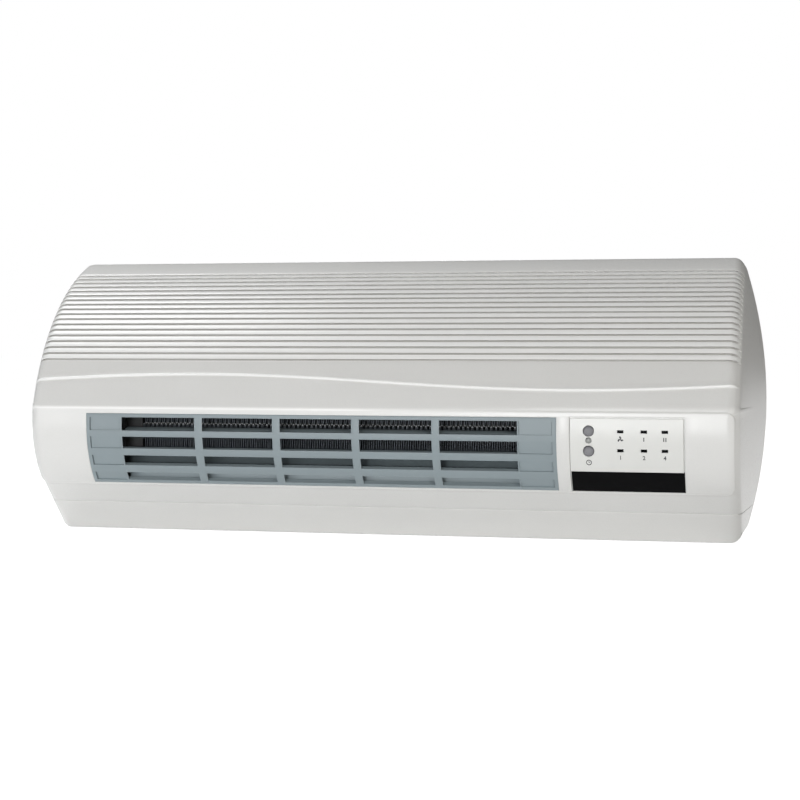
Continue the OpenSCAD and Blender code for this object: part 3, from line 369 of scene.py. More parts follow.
winding = coating("copper_winding", (0.5, 0.2, 0.075), 0.35, 300, 0.00012, 0.18, 0.7,
                  (1, 1, 9), 0.1, 0.4)
dressed("motor_coil", 1.4, "coil_winding", winding, "copper_winding", segments=4)

rotor_steel = coating("rotor_steel", (0.28, 0.285, 0.29), 0.38, 400, 0.00004, 0.25, 1,
                      (60, 1, 1), 0.1)
rotor = ((0, 3), (0, 11.8), (0.5, 12.3), (2.2, 12.3), (2.2, 13.7), (2.5, 14),
         (19.5, 14), (19.8, 13.7), (19.8, 12.3), (21.5, 12.3), (22, 11.8), (22, 3))
finish(on_shaft(rotor, core_left, 64),
       "squirrel_cage", rotor_steel, "bright_steel", "motor_rotor", body="fan_rotor")

shaft = ((0, 0), (0, 2.5), (0.5, 3), (62.4, 3), (63.2, 2.2), (63.2, 0))
finish(on_shaft(shaft, 96),
       "rotor_shaft", ground_steel, "bright_steel", "motor_shaft", body="fan_rotor")

cast_metal = coating("cast_zinc", (0.42, 0.425, 0.43), 0.5, 1100, 0.00008, 0.12, 0.9, (1, 1, 1),
                     0.12)
dressed("motor_brackets", 0.5, "bearing_brackets", cast_metal, "cast_zinc", segments=3)


def repeated(piece, *distances):
    """Joins copies of a piece on to it that lie at some distances in millimetres."""
    return copies(piece, [Matrix.Translation(Vector(distance) * mm) for distance in distances])


motor_screw = (-65, 134)         # y and z of the rear one of the two long screws
screw_pitch = 36
spacer = turned(drum(9, 4, 0.3, 1.65), (114.2, *motor_screw), (1, 0, 0))
finish(repeated(spacer, (0, screw_pitch, 0)), "rubber_spacers", soft_rubber, "black_rubber",
       "motor_spacers")

# ---- Element tray and safety devices ----
# Folded dark steel tray that holds the element under the fan. On its roof sit a round
# self-resetting cutout and a ceramic fuse between two clips.

tray_metal = coating("tray_metal", (0.033, 0.042, 0.045), 0.5, 1200, 0.00002, 0.1, 0.8)
dressed("element_tray", 0.25, "folded_tray", tray_metal, "tray_steel")

tray_top = 85.4
plated = coating("plated_steel", (0.7, 0.7, 0.69), 0.28, 800, 0.00002, 0.08, 1, (1, 1, 1), 0.1)
body = ((0, 0), (0, 6.6), (0.2, 6.8), (0.9, 6.8), (1, 6.7), (1, 6), (4.6, 6),
        (4.8, 5.7), (5.2, 5.7), (5.4, 6), (7.6, 6), (8, 5.6), (8, 0))
piece = turned(body, (60, -83, tray_top), (0, 0, 1))
blades = []
for x in (56, 64):
    blade = block(x - 0.4, x + 0.4, -86, -80, tray_top + 7.9, tray_top + 14)
    cut(blade, rod((x - 1, -83, tray_top + 12), (x + 1, -83, tray_top + 12), 0.9, 20))
    soften(blade, 0.15)
    blades.append(blade)
finish(join(piece, *blades), "round_cutout", plated, "zinc_steel", "thermal_cutout")

ceramic = coating("ceramic", (0.78, 0.76, 0.7), 0.25, 1800, 0.00002, 0.06)
body = ((0, 0), (0, 1.9), (0.6, 2.5), (3.4, 2.5), (3.7, 2.35), (18.3, 2.35), (18.6, 2.5),
        (21.4, 2.5), (22, 1.9), (22, 0))
piece = turned(body, (-71, -83, tray_top + 3), (1, 0, 0))
clips = [block(x, x + 2, -86, -80, tray_top, tray_top + 6) for x in (-73, -49)]
for clip in clips:
    soften(clip, 0.4)
finish(join(piece, *clips), "ceramic_fuse", ceramic, "pale_plastic", "thermal_fuse")

# ---- Heating element ----
# Folded aluminium fins are bonded to flat tubes that hold the heating stones.
# Black end blocks hold the tubes in a steel tray, and the fan blows down through the fins.


def object_place(material):
    """X, Y and Z of the places on the object."""
    place = material.node_tree.nodes["Texture Coordinate"].outputs["Object"]
    return add_node(material, "SeparateXYZ", Vector=place).outputs


def maths(owner, operation, *values):
    """Result of an operation on numbers or other nodes' outputs."""
    node = add_node(owner, "Math", ("operation", operation))
    for socket, value in zip(node.inputs, values):
        feed(owner, socket, value)
    return node.outputs["Value"]


# The fins are coloured dark grey and the tubes near black: painted shade for the space behind the
# grille, where these aluminium parts lie in shade.
fin_metal = coating("fin_aluminium", (0.115, 0.13, 0.147), 0.6, 700, 0.00003, 0.15, 0.4)
height = object_place(fin_metal)["Z"]            # the band where the strips meet is painted brighter, a painted highlight on the folded crests
bare_metal_and_highlight = maths(fin_metal, "MULTIPLY", ramp(fin_metal, height, -0.0533, -0.0524),
             ramp(fin_metal, height, -0.0514, -0.0520))
tint(fin_metal, bare_metal_and_highlight, (0.42, 0.43, 0.44))
tube_metal = coating("tube_aluminium", (0.03, 0.03, 0.032), 0.55, 700, 0.00003, 0.12, 1)
core_x1 = -157.5
core_x2 = 100
core_y1 = -90
core_y2 = -74
core_z1 = 52.2
core_z2 = 84.2
tube_zs = (60.2, 72.2)           # undersides of the two flat tubes
tube_t = 4
fold = 3                         # length of one whole fold of a fin strip


def fin_strip(z1, z2, y1, y2):
    """One folded strip of fins between two heights."""
    steps = 4
    bpy.ops.mesh.primitive_grid_add(x_subdivisions=4 * steps, y_subdivisions=1, size=1)
    strip = bpy.context.object
    for point in strip.data.vertices:
        u = point.co.x + 0.5
        wave = sin(2 * pi * u)
        height = max(-1, min(1, 1.6 * wave)) * (1 - 0.12 * (1 - abs(wave)))
        mid = (z1 + z2) / 2
        reach = (z2 - z1) / 2 - 0.15
        point.co = spot(core_x1 + 0.4 + fold * u, y1 + (y2 - y1) * (point.co.y + 0.5),
                        mid + reach * height)
    count = int((core_x2 - core_x1 - 0.8) / fold)
    modify(strip, "ARRAY", count=count, use_relative_offset=False, use_constant_offset=True,
           constant_offset_displace=(fold * mm, 0, 0), use_merge_vertices=True,
           merge_threshold=0.00001)
    modify(strip, "SOLIDIFY", thickness=0.25 * mm, offset=0)
    return strip


front_y = core_y1 + 3.5          # the front strips lap over the tubes
strip_edge = 72.9                # and meet at this height
back_y = front_y + 0.2           # front of the tubes and of the strips between them
piece = join(fin_strip(core_z1, strip_edge, core_y1, front_y),
             fin_strip(strip_edge, core_z2, core_y1, front_y),
             fin_strip(core_z1, tube_zs[0], back_y, core_y2),
             fin_strip(tube_zs[0] + tube_t, tube_zs[1], back_y, core_y2),
             fin_strip(tube_zs[1] + tube_t, core_z2, back_y, core_y2))
finish(piece, "folded_fins", fin_metal, "aluminium", "element_fins", smooth=60)
piece = join(*[block(core_x1, core_x2 + 6, back_y, core_y2, z, z + tube_t) for z in tube_zs])
soften(piece, 0.6, 3)
finish(piece, "flat_tubes", tube_metal, "aluminium", "heating_tubes")

end_black = coating("end_black", (0.016, 0.017, 0.018), 0.6, 2500, 0.00003, 0.06)
left_end = block(-169.5, core_x1, core_y1, core_y2, core_z1, core_z2)
right_end = block(core_x2, 112, core_y1, core_y2, core_z1, core_z2)
for z in tube_zs:                # openings for the tube and for its terminal
    cut(right_end, block(core_x2 - 1, core_x2 + 6, core_y1 - 1, core_y2 + 1, z, z + tube_t),
        block(core_x2 + 5, 113, core_y1 + 4, core_y1 + 10.3, z + 1.6, z + 2.4))
piece = join(left_end, right_end)
soften(piece, 0.5)
finish(piece, "end_blocks", end_black, "dark_plastic", "element_end_blocks")

terminal_brass = coating("terminal_brass", (0.78, 0.57, 0.25), 0.34, 900, 0.00002, 0.12, 1)
dressed("element_terminals", 0.2, "spade_terminals", terminal_brass, "brass")

# ---- Control board ----
# Green circuit board screwed to the rear shell behind the panel end. It carries two relays, a
# film capacitor, two cans and a buzzer, and the terminal block sits below it.


def circuit_board(name):
    """Green lacquer with a pattern of copper tracks and soldered pads."""
    material = coating(name, (0.012, 0.115, 0.045), 0.32, 1500, 0.00002, 0.12)
    place = object_place(material)
    flat = add_node(material, "CombineXYZ", X=place["X"], Y=place["Z"]).outputs["Vector"]
    tracks = add_node(material, "TexBrick", Vector=flat, Scale=160, Mortar_Size=0.09,
                      Mortar_Smooth=0.2, Brick_Width=1.7, Row_Height=0.42, Color1=(0, 0, 0, 1),
                      Color2=(0, 0, 0, 1), Mortar=(1, 1, 1, 1))
    tint(material, tracks.outputs["Color"], (0.03, 0.24, 0.1))
    spots = add_node(material, "TexVoronoi", ("voronoi_dimensions", "2D"), Vector=flat,
                     Scale=260, Randomness=0.7)
    pad = maths(material, "LESS_THAN", spots.outputs["Distance"], 0.10)
    tint(material, pad, (0.6, 0.6, 0.58))
    set_inputs(material, shader_of(material), Metallic=pad)
    return material


control_green = circuit_board("control_lacquer")
dressed("control_board", 0.15, "control_circuit", control_green, "board")

relay_blue = coating("relay_blue", (0.035, 0.09, 0.3), 0.34, 2000, 0.00002, 0.06)
relays = []
for x in (174, 190):
    relay = block(x - 7.8, x + 7.8, -32.5, -17, 48, 67)
    soften(relay, 0.6, 3)
    cut(relay, rod((x - 5, -33, 64), (x - 5, -31.9, 64), 0.6, 16),
        block(x - 6.6, x + 6.6, -33, -32.3, 50, 60.5))
    relays.append(relay)
finish(join(*relays), "relay_pair", relay_blue, "relay_plastic", "relays")

case_mix = coating("capacitor_case", (0.62, 0.38, 0.06), 0.38, 1800, 0.00003, 0.07)
place = object_place(case_mix)                   # the cans stand to the right of the film one
is_can = maths(case_mix, "GREATER_THAN", place["X"], 0.191)
is_top = maths(case_mix, "LESS_THAN", place["Y"], -0.02885)
bare_metal_and_highlight = maths(case_mix, "MULTIPLY", is_can, is_top)
tint(case_mix, is_can, (0.02, 0.03, 0.07))
tint(case_mix, bare_metal_and_highlight, (0.7, 0.71, 0.72))
set_inputs(case_mix, shader_of(case_mix), Metallic=bare_metal_and_highlight)
film = block(171, 189, -31, -17, 72, 79)
soften(film, 0.7, 3)
can_outline = ((0, 0), (0, 3.6), (0.4, 4), (1.6, 4), (1.9, 3.7), (2.3, 3.7), (2.6, 4),
               (11.4, 4), (11.8, 3.75), (12, 3.4), (12, 3.1), (11.8, 2.9), (11.8, 0))
can = turned(can_outline, (197, -17, 78), (0, -1, 0))
cut(can, block(194.5, 199.5, -30, -28.6, 77.85, 78.15),
    block(196.85, 197.15, -30, -28.6, 75.5, 80.5))
finish(join(film, repeated(can, (0, 0, 12))), "capacitor_set", case_mix, "capacitor_case",
       "capacitors")

part_black = coating("part_black", (0.022, 0.022, 0.024), 0.4, 2200, 0.00003, 0.08)
outline = ((0, 0), (0, 6), (7.5, 6), (8, 5.5), (8, 1.3), (7.7, 1), (7, 1),
           (7, 0))
finish(turned(outline, (178, -17, 96), (0, -1, 0)),
       "buzzer_can", part_black, "black_plastic", "buzzer")

block_ivory = coating("block_ivory", (0.66, 0.63, 0.52), 0.36, 2000, 0.00003, 0.05)
dressed("terminal_block", 0.3, "terminal_strip", block_ivory, "pale_plastic")

# ---- Display board ----
# Small circuit board screwed to posts behind the panel. It carries the two switches with their
# plungers, seven lights and the receiver, and a flat cable joins it to the control board.

display_green = circuit_board("display_lacquer")
dressed("display_board", 0.15, "display_circuit", display_green, "board")

button_x = 138.1
power_z = 71.8
timer_z = 59.5
status_z = 66.05
light_xs = (157.4, 171.6, 184.2)
switch_black = coating("switch_black", (0.025, 0.025, 0.027), 0.45, 2200, 0.00003, 0.08)
dressed("tact_switches", 0.3, "switch_pair", switch_black, "black_plastic", angle=60)

plunger_grey = coating("plunger_grey", (0.05, 0.05, 0.053), 0.38, 2200, 0.00002, 0.06)
plunger_y = -101.9               # front of the plungers, where the buttons' stems end
for name, z in (("power", power_z), ("timer", timer_z)):
    finish(turned(drum(2.5, 1.6, 0.3), (button_x, plunger_y, z), (0, 1, 0)), name + "_stem",
           plunger_grey, "black_plastic", name + "_plunger", body=name + "_key")

light_clear = coating("light_clear", (0.75, 0.73, 0.62), 0.12, 1500, 0.00001, 0.04)
set_inputs(light_clear, shader_of(light_clear), Transmission_Weight=0.6, IOR=1.5)
lamp_outline = ((0, 0), (0, 1.45), (0.1, 1.5), (0.7, 1.5), (0.8, 1.4), (3.6, 1.4),
                (4.2, 1.27), (4.6, 1), (4.9, 0.55), (5, 0))
lamps = []
for x in light_xs:
    for z in (power_z, timer_z):
        lamps.append(turned(lamp_outline, (x, -97, z), (0, -1, 0), 32))
lamps.append(turned(lamp_outline, (button_x, -97, status_z), (0, -1, 0), 32))
finish(join(*lamps), "indicator_set", light_clear, "lens", "indicator_leds")

receiver_black = coating("receiver_black", (0.02, 0.018, 0.022), 0.2, 2200, 0.00001, 0.05)
dressed("infrared_receiver", 0.2, "receiver_eye", receiver_black, "black_plastic")

ribbon_grey = coating("ribbon_grey", (0.46, 0.46, 0.47), 0.42, 1500, 0.00002, 0.05)
height = object_place(ribbon_grey)["Z"]          # ten round cores side by side, with the valleys between them painted darker as shade
wave = maths(ribbon_grey, "SINE", maths(ribbon_grey, "MULTIPLY", height, 2 * pi / (1.2 * mm)))
tint(ribbon_grey, ramp(ribbon_grey, wave, -1, -0.4, 0.45, 0), (0.12, 0.12, 0.125))
first = maths(ribbon_grey, "LESS_THAN", height, -0.0698)     # the lowest one is marked red
tint(ribbon_grey, first, (0.5, 0.03, 0.03))
dressed("ribbon_cable", 0.2, "flat_ribbon", ribbon_grey, "cable_jacket")

# ---- Wires ----
# Two thick red wires run from the element's tabs to the relays, and two thin blue ones from the
# coil to the control board. Each is a smooth line thickened to its sleeve.


def wire(points, radius):
    """Round wire that follows a smooth line near the given points."""
    bpy.ops.curve.primitive_nurbs_path_add()
    piece = bpy.context.object
    line = piece.data.splines[0]
    line.points.add(len(points) - len(line.points))
    for point, place in zip(line.points, points):
        point.co = (*spot(*place), 1)
    line.order_u = 3
    line.use_endpoint_u = True
    line.resolution_u = 6
    piece.data.bevel_depth = radius * mm
    piece.data.bevel_resolution = 4
    piece.data.use_fill_caps = True
    bpy.ops.object.convert(target="MESH")
    piece = bpy.context.object
    edit_all()
    bpy.ops.mesh.remove_doubles(threshold=0.000001)
    bpy.ops.mesh.normals_make_consistent(inside=False)
    bpy.ops.object.mode_set(mode="OBJECT")
    return piece


red_sleeve = coating("red_sleeve", (0.42, 0.022, 0.018), 0.4, 1500, 0.00002, 0.08)
blue_sleeve = coating("blue_sleeve", (0.02, 0.07, 0.32), 0.4, 1500, 0.00002, 0.08)
thick = []
for i, z in enumerate((62.2, 74.2)):
    x = 174 + 14 * i
    thick.append(wire([(112, -83, z), (114.2, -83, z), (126, -82, z - 2), (142, -74, z - 8),
                       (168, -54, 54 + 5 * i), (x, -40, 56), (x, -36, 56), (x, -32.5, 56)], 1.2))
finish(join(*thick), "red_wires", red_sleeve, "red_wire", "heater_wires")
thin = []
for i in (0, 1):
    z = 89.5 + 4 * i
    thin.append(wire([(153.2, -70, z), (156.2, -70, z), (161.2, -48, z - 2),
                      (168, -34, 88 + 5 * i), (170, -26, 84 + 5 * i), (170, -21, 84 + 5 * i),
                      (170, -17, 84 + 5 * i)], 0.9))
finish(join(*thin), "blue_wires", blue_sleeve, "blue_wire", "motor_wires")

# ---- Outlet grille ----
# Blue-grey satin moulding that clips into the front band. It has four rows of five openings,
# and a slat behind each row leads the warm air forward and down.

body_h = 181
edge_r = 7                       # radius of the edges round the ends
flat_x = 221                     # half length of the straight front
rear_y = -0.5
front_curve = (34.29, 39.16, 151)    # y, z and radius of the upper curve
under_curve = (-49, 73.45, 60)       # and of the curve under the front
band_t = 1                       # the band stands out by this much
slope_z = 31.02                  # height at which the lower slope begins
slope_y = -60.4                  # y at which it would meet the underside
bulge_z = 86.6                   # height, radius and reach of the bulging ends
bulge_r = 297
bulge_out = 13.4


def straight(y1, z1, y2, z2, angle):
    """Length of a straight part of the side line, and its place and direction at a share u."""
    return hypot(y2 - y1, z2 - z1), lambda u: (y1 + (y2 - y1) * u, z1 + (z2 - z1) * u, angle)


def curve(y, z, r, a1, a2):
    """The same for a round part between two directions."""
    return (r * radians(a1 - a2),
            lambda u: (y - r * cos(radians(a1 + (a2 - a1) * u)),
                       z + r * sin(radians(a1 + (a2 - a1) * u)), a1 + (a2 - a1) * u))


# Side line of the body, from the wall over the top and down the front, and back to the wall.
side_parts = [
    straight(rear_y, 180.3, -17.13, 180.3, 90),
    curve(-17.13, 168.3, 12, 90, 68.29),
    curve(*front_curve, 68.29, 18.9),
    curve(-101, 85.48, 8, 18.9, 0),
    straight(-109, 85.48, -109, 73.45, 0),
    curve(*under_curve, 0, -45),
    straight(-91.43, slope_z, -61.278, 0.879, -45),
    curve(-59.157, 3, 3, -45, -90),
    straight(-59.157, 0, rear_y, 0, -90),
]
part_start = [sum(part[0] for part in side_parts[:i]) for i in range(len(side_parts) + 1)]
(_, edge_start, curve_start, brow_start, flat_start, under_start, slope_start, toe_start,
 base_start, side_end) = part_start


def side_at(s):
    """y, z and outward direction of the side line at a length s along it."""
    i = 0
    while i < len(side_parts) - 1 and s > part_start[i + 1]:
        i += 1
    y, z, angle = side_parts[i][1]((s - part_start[i]) / side_parts[i][0])
    return y, z, -cos(radians(angle)), sin(radians(angle))


def length_at(z, lift=0):
    """Length along the side line at which the front, raised by lift, has a height z."""
    low, high = edge_start, toe_start
    for _ in range(40):
        middle = (low + high) / 2
        _, height, _, up = side_at(middle)
        if height + lift * up > z:
            low = middle
        else:
            high = middle
    return low


def front_at(z):
    """Front of the body at a height."""
    y, middle, r = front_curve
    brow = middle + r * sin(acos((-109 - y) / r))
    if z > brow:
        return y - sqrt(r ** 2 - (min(z, body_h) - middle) ** 2)
    y, middle, r = under_curve
    if z > middle:
        return y - r
    if z > slope_z:
        return y - sqrt(r ** 2 - (z - middle) ** 2)
    return slope_y - z


def share(value):
    """Keeps a value between 0 and 1."""
    return max(0, min(value, 1))


def end_angle(c):
    """How far the rounding of an end has turned at a place along the front."""
    return max(0, min((abs(c) - flat_x) / edge_r, pi / 2))


def flare(y, z):
    """How far an end stands out at a place, because it bulges towards the wall."""
    bulge = sqrt(bulge_r ** 2 - (z - bulge_z) ** 2) - bulge_r + bulge_out
    return bulge * max(0, 1 - y / front_at(z))


def on_body(c, s, lift, back=0):
    """Point of the body: c runs along the front and round its end, s down the side line.
    lift is the height above the surface, and back goes from 0 to 1 over the flat end."""
    round_end = end_angle(c)
    y, z, out_y, out_z = side_at(s)
    inset = (edge_r + lift) * (1 - cos(round_end)) - lift
    y -= out_y * inset
    z -= out_z * inset
    if s > slope_start and z < inset:            # the corner of the underside stays sharp
        z = inset
        y = max(y, slope_y + inset * tan(pi / 8))
    y += (rear_y - y) * back
    x = min(abs(c), flat_x) + (edge_r + lift) * sin(round_end)
    x += flare(y, z) * share((abs(c) - 200) / 21)
    return spot(x if c > 0 else -x, y, z)


def filled(values, step):
    """Sorted values, with more between them where a gap is wider than step."""
    values = sorted(set(round(v, 4) for v in values))
    result = [values[0]]
    for v in values[1:]:
        n = max(1, round((v - result[-1]) / step + 0.35))
        first = result[-1]
        result += [first + (v - first) * k / n for k in range(1, n)] + [v]
    return result


def pattern(name, xs, ys):
    """Adds a flat grid whose lines lie at the given places, before it is wrapped on the body."""
    bpy.ops.mesh.primitive_grid_add(x_subdivisions=len(xs) - 1, y_subdivisions=len(ys) - 1,
                                    size=1)
    sheet = bpy.context.object
    sheet.name = name
    for point in sheet.data.vertices:
        column = round((point.co.x + 0.5) * (len(xs) - 1))
        row = round((point.co.y + 0.5) * (len(ys) - 1))
        point.co = (xs[column], -ys[row], 0)
    return sheet


def pick_faces(piece, test):
    """Enters edit mode with only those faces selected that pass a test."""
    bpy.ops.object.mode_set(mode="EDIT")
    bpy.ops.mesh.select_mode(type="FACE")
    bpy.ops.mesh.select_all(action="DESELECT")
    bpy.ops.object.mode_set(mode="OBJECT")
    for face in piece.data.polygons:
        face.select = test(face)
    bpy.ops.object.mode_set(mode="EDIT")


def cut_out(sheet, test):
    """Deletes the faces of a pattern whose middle passes a test."""
    pick_faces(sheet, lambda face: test(face.center.x, -face.center.y))
    bpy.ops.mesh.delete(type="FACE")
    bpy.ops.object.mode_set(mode="OBJECT")


def wrap(sheet, outer, inner):
    """Wraps a pattern on the body and gives it its thickness. outer and inner give the place
    of a point of the pattern on either side of the wall."""
    inside = sheet.data.attributes.new("inside", "FLOAT_VECTOR", "POINT")
    places = [(point.co.x, -point.co.y) for point in sheet.data.vertices]
    for point, (c, s) in zip(sheet.data.vertices, places):
        point.co = outer(c, s)
        inside.data[point.index].vector = inner(c, s)
    edit_all()
    bpy.ops.mesh.remove_doubles(threshold=0.000005)
    bpy.ops.mesh.flip_normals()
    bpy.ops.object.mode_set(mode="OBJECT")
    count = len(sheet.data.vertices)
    modify(sheet, "SOLIDIFY", thickness=mm, offset=-1)
    inside = sheet.data.attributes["inside"]
    for point in sheet.data.vertices[count:]:
        point.co = inside.data[point.index].vector
    sheet.data.attributes.remove(inside)


def step_down(distance, table):
    """Height at a distance, from a table of distances and heights."""
    if distance <= table[0][0]:
        return table[0][1]
    for (d1, h1), (d2, h2) in zip(table, table[1:]):
        if distance <= d2:
            return h1 + (h2 - h1) * (distance - d1) / (d2 - d1)
    return table[-1][1]


def outside(c, s, area):
    """How far a place lies outside an area of the pattern, negative inside."""
    c1, c2, s1, s2 = area
    return max(c1 - c, c - c2, s1 - s, s - s2)


grille_satin = coating("grille_satin", (0.262, 0.312, 0.335), 0.45, 2600, 0.00003, 0.02)
grille_x1 = -188.7
grille_x2 = 118.3
air_x1 = -164.2
air_x2 = 93.8
columns = ((-164.2, -114.9), (-109.5, -62.9), (-57.7, -11.1), (-5.9, 40.3), (45.4, 94.1))
grille_area = (grille_x1, grille_x2, length_at(79.8, band_t), length_at(33.8, band_t))
rows = []
for i in range(4):               # degrees round the lower curve, the lower rows less high
    middle = 0.35 + 11.6 * i
    half = (8 - 0.7 * i) / 2
    rows.append([under_start + under_curve[2] * radians(middle + side * half)
                 for side in (-1, 1)])
openings = [(*column, *row) for row in rows for column in columns]
frame_w = 2.4                    # plain frame beside the blind openings, with a slit along each
slit_w = 0.35
blanks = [(*x, *row) for row in rows for x in ((grille_x1 + frame_w, air_x1 - 1),
                                                (air_x2 + 1.2, grille_x2 - frame_w))]
slits = [(*x, *row) for row in rows
         for x in ((grille_x1 + frame_w, grille_x1 + frame_w + slit_w),
                   (grille_x2 - frame_w - slit_w, grille_x2 - frame_w))]
rim = (0, 0.15, 0.45)            # distances from an edge at which its rounding is drawn
rounding = ((-0.01, -0.30), (0, -0.30), (0.15, -0.09), (0.45, 0))
step = 0.03                      # width of a steep step on the pattern


def within(a, b, distances):
    """Places at some distances inside both ends of a stretch."""
    return [a + d for d in distances] + [b - d for d in distances]


def beyond(a, b, distances):
    """Places at some distances outside both ends of a stretch."""
    return [a - d for d in distances] + [b + d for d in distances]


xs = within(grille_x1, grille_x2, rim)
ys = within(grille_area[2], grille_area[3], rim)
for c1, c2, s1, s2 in openings:
    xs += beyond(c1, c2, rim)
    ys += beyond(s1, s2, rim)
for c1, c2, s1, s2 in blanks + slits:
    xs += within(c1, c2, (0, step))
    ys += within(s1, s2, (0, step))


def grille_lift(c, s):
    """Height of the grille's face above the body."""
    lift = band_t - 0.1
    lift += step_down(-outside(c, s, grille_area), rounding)
    lift += sum(step_down(outside(c, s, area), rounding) for area in openings)
    if any(outside(c, s, area) < -step / 2 for area in blanks):
        lift = band_t - 0.9
    if any(outside(c, s, area) < -step / 2 for area in slits):
        lift = band_t - 1.5
    return lift


piece = pattern("grille", filled(xs, 9), filled(ys, 2.2))
cut_out(piece, lambda c, s: any(outside(c, s, area) < 0 for area in openings))


def behind_bar(c):
    """The bars narrow towards the back on their right side."""
    for left, _ in columns:
        if left - 3 < c <= left + 0.01:
            return c - 1.6 * (1 - (left - c) / 3)
    return c


wrap(piece, lambda c, s: on_body(c, s, grille_lift(c, s)),
     lambda c, s: on_body(behind_bar(c), s, -2.5))
slats = []
slat_t = 1.4
slat_w = 7.5                     # from front to back, where they are 0.9 thick
slat_r = under_curve[2] - 2.6    # the slats start behind the bars
for (_, s2), rise in zip(rows, (17, -3, -2, -8)):
    angle = (s2 - under_start) / under_curve[2]
    y = under_curve[0] - slat_r * cos(angle)
    z = under_curve[1] - slat_r * sin(angle)
    bpy.ops.mesh.primitive_cube_add(size=1)
    slat = bpy.context.object
    for point in slat.data.vertices:
        along = (point.co.y + 0.5) * slat_w - 0.6
        high = (point.co.z - 0.5) * (slat_t - 0.5 * (point.co.y + 0.5)) - 0.3
        point.co = spot((air_x1 + air_x2) / 2 + point.co.x * (air_x2 - air_x1),
                        y + along * cos(radians(rise)) - high * sin(radians(rise)),
                        z + along * sin(radians(rise)) + high * cos(radians(rise)))
    soften(slat, 0.25)
    slats.append(slat)
lip = ((-91.6, 34.9), (-92.5, 43), (-91, 42), (-88.6, 32.9))
bpy.ops.mesh.primitive_cube_add(size=1)
floor_lip = bpy.context.object
for point in floor_lip.data.vertices:
    y, z = lip[(0 if point.co.y < 0 else 3) if point.co.z < 0 else (1 if point.co.y < 0 else 2)]
    point.co = spot((air_x1 + air_x2) / 2 + point.co.x * (air_x2 - air_x1 + 2.4), y, z)
soften(floor_lip, 0.3)
slats.append(floor_lip)
for x in (air_x1 - 5.4, air_x2 + 0.3):           # cheeks beside the openings
    sheet = pattern("cheek", [x, x + 1.4], filled([grille_area[2] + 2, grille_area[3] - 2], 3))
    wrap(sheet, lambda c, s: on_body(c, s, -2), lambda c, s: on_body(c, s, -6.5))
    slats.append(sheet)
flange = (grille_x1 - 2.5, grille_x2 + 2.5, grille_area[2] - 2.4, grille_area[3] + 2.4)
sheet = pattern("flange", filled([flange[0], flange[1], grille_x1 + 2, grille_x2 - 2], 12),
                filled([flange[2], flange[3], grille_area[2] + 2, grille_area[3] - 0.5], 3))
cut_out(sheet, lambda c, s: outside(c, s, (grille_x1 + 2, grille_x2 - 2, grille_area[2] + 2,
                                           grille_area[3] - 0.5)) < 0)
wrap(sheet, lambda c, s: on_body(c, s, -2.6), lambda c, s: on_body(c, s, -4))
slats.append(sheet)
piece = join(piece, *slats)
finish(piece, "outlet_grille_bars", grille_satin, "grille_plastic", "outlet_grille", level=False)

# ---- Front cover ----
# White plastic shell over the fan. Grooves run along its upper curve, a thin raised wave runs
# above the band, and slots in its top let the air in.

wall_t = 2.5
seam_z = 20
seam_gap = 0.3
groove_n = 18
groove_profile = ((0, -2), (0.5, -2), (0.56, -0.25), (0.66, -0.06), (0.85, 0))
groove_lean = 0.9                # the grooves lean upwards
rib_step = 0.32
groove_first = 29.89             # angle of the lowest groove round the upper curve
groove_step = 1.8024
top_step = 1.935                 # the highest ones lie further apart
groove_lines = [curve_start + front_curve[2] * radians(
    68.29 - groove_first - groove_step * min(i, 12) - top_step * max(i - 12, 0))
    for i in range(groove_n)]
ridge_profile = ((0, 1), (0.3, 0.92), (0.6, 0.6), (0.9, 0.14), (1.15, 0))
ridge_z = 100.9
wave_h = 4.3                     # the wave runs this far up and down
wave_top = -113                  # x of its highest place
wave_half = 239                  # from there to its lowest place
ridge_s = length_at(ridge_z)
ridge_zone = (length_at(112.6), length_at(88.4))
band_edge = ((-0.95, 1), (-0.5, 0.95), (-0.2, 0.76), (0.02, 0.42), (0.16, 0.12), (0.4, 0))
band_top = ((-1.05, 1), (-0.75, 0.94), (-0.45, 0.72), (-0.1, 0.32), (0.1, 0.08), (0.3, 0))
brow_foot = ((-3.5, 0), (-1, 0.2), (0, 0.42), (1.3, 0.4), (2.9, 0.22), (4.2, 0.06), (5.2, 0))
brow_flush = ((-1.1, 0), (-0.5, 1), (0, 1), (1.3, 0.62), (2.9, 0.15), (4.2, 0), (5.2, 0))
band_end = 225.6
band_left = 229.3                # the band runs further round the left end
band_r = 5.5
band_area = (-band_left, band_end, length_at(83.7, 0.5), length_at(32.8, 0.5))
panel_area = (126.4, 196, length_at(80, band_t), length_at(33.6, band_t))
panel_floor = -0.2
cover_end = length_at(seam_z)


def rib_tilt(s):
    """Each rib stands out at its lower edge and lies back at its upper edge."""
    for above, below in zip(groove_lines[1:], groove_lines):
        if above < s <= below:
            return rib_step * (2 * (s - above) / (below - above) - 1)
    return 0


def groove_depth(s):
    """Height of a groove's floor and walls, negative inside it."""
    return step_down(min(abs(s - line) for line in groove_lines), groove_profile)


def end_fade(c):
    """1 over the front, falling to 0 round each end, where the grooves run out."""
    return 1 - share((abs(c) - 226.6) / 3.6)


def groove_lift(c, s):
    """Height of the ribs and grooves above the body."""
    return groove_depth(s) * end_fade(c) ** 1.5 + rib_tilt(s) * end_fade(c)


def groove_crease(c, s):
    """1 at the bottom of a groove, 0 on the ribs. It leans the grooves and sets where they are
    painted darker as shade.
    """
    return share(-groove_depth(s) * end_fade(c) ** 1.5 / 1.2)


def painted_face_shade(c, s):
    """Painted shade on the face between the ribs and the band, heavier above the wave than below it.
    """
    on_face = groove_lines[0] + 0.5 < s < band_area[2] - 0.2
    return (0.36 if s < ridge_s else 0.2) * end_fade(c) * on_face


def wave_fade(c):
    """1 over the front, falling to 0 where the wave runs out at each end."""
    return 1 - share((abs(c) - 224) / 4.5)


def brow_share(c):
    """Above the band the face runs flush to its edge on the left and dips towards the right."""
    return share((c + 40) / 160)


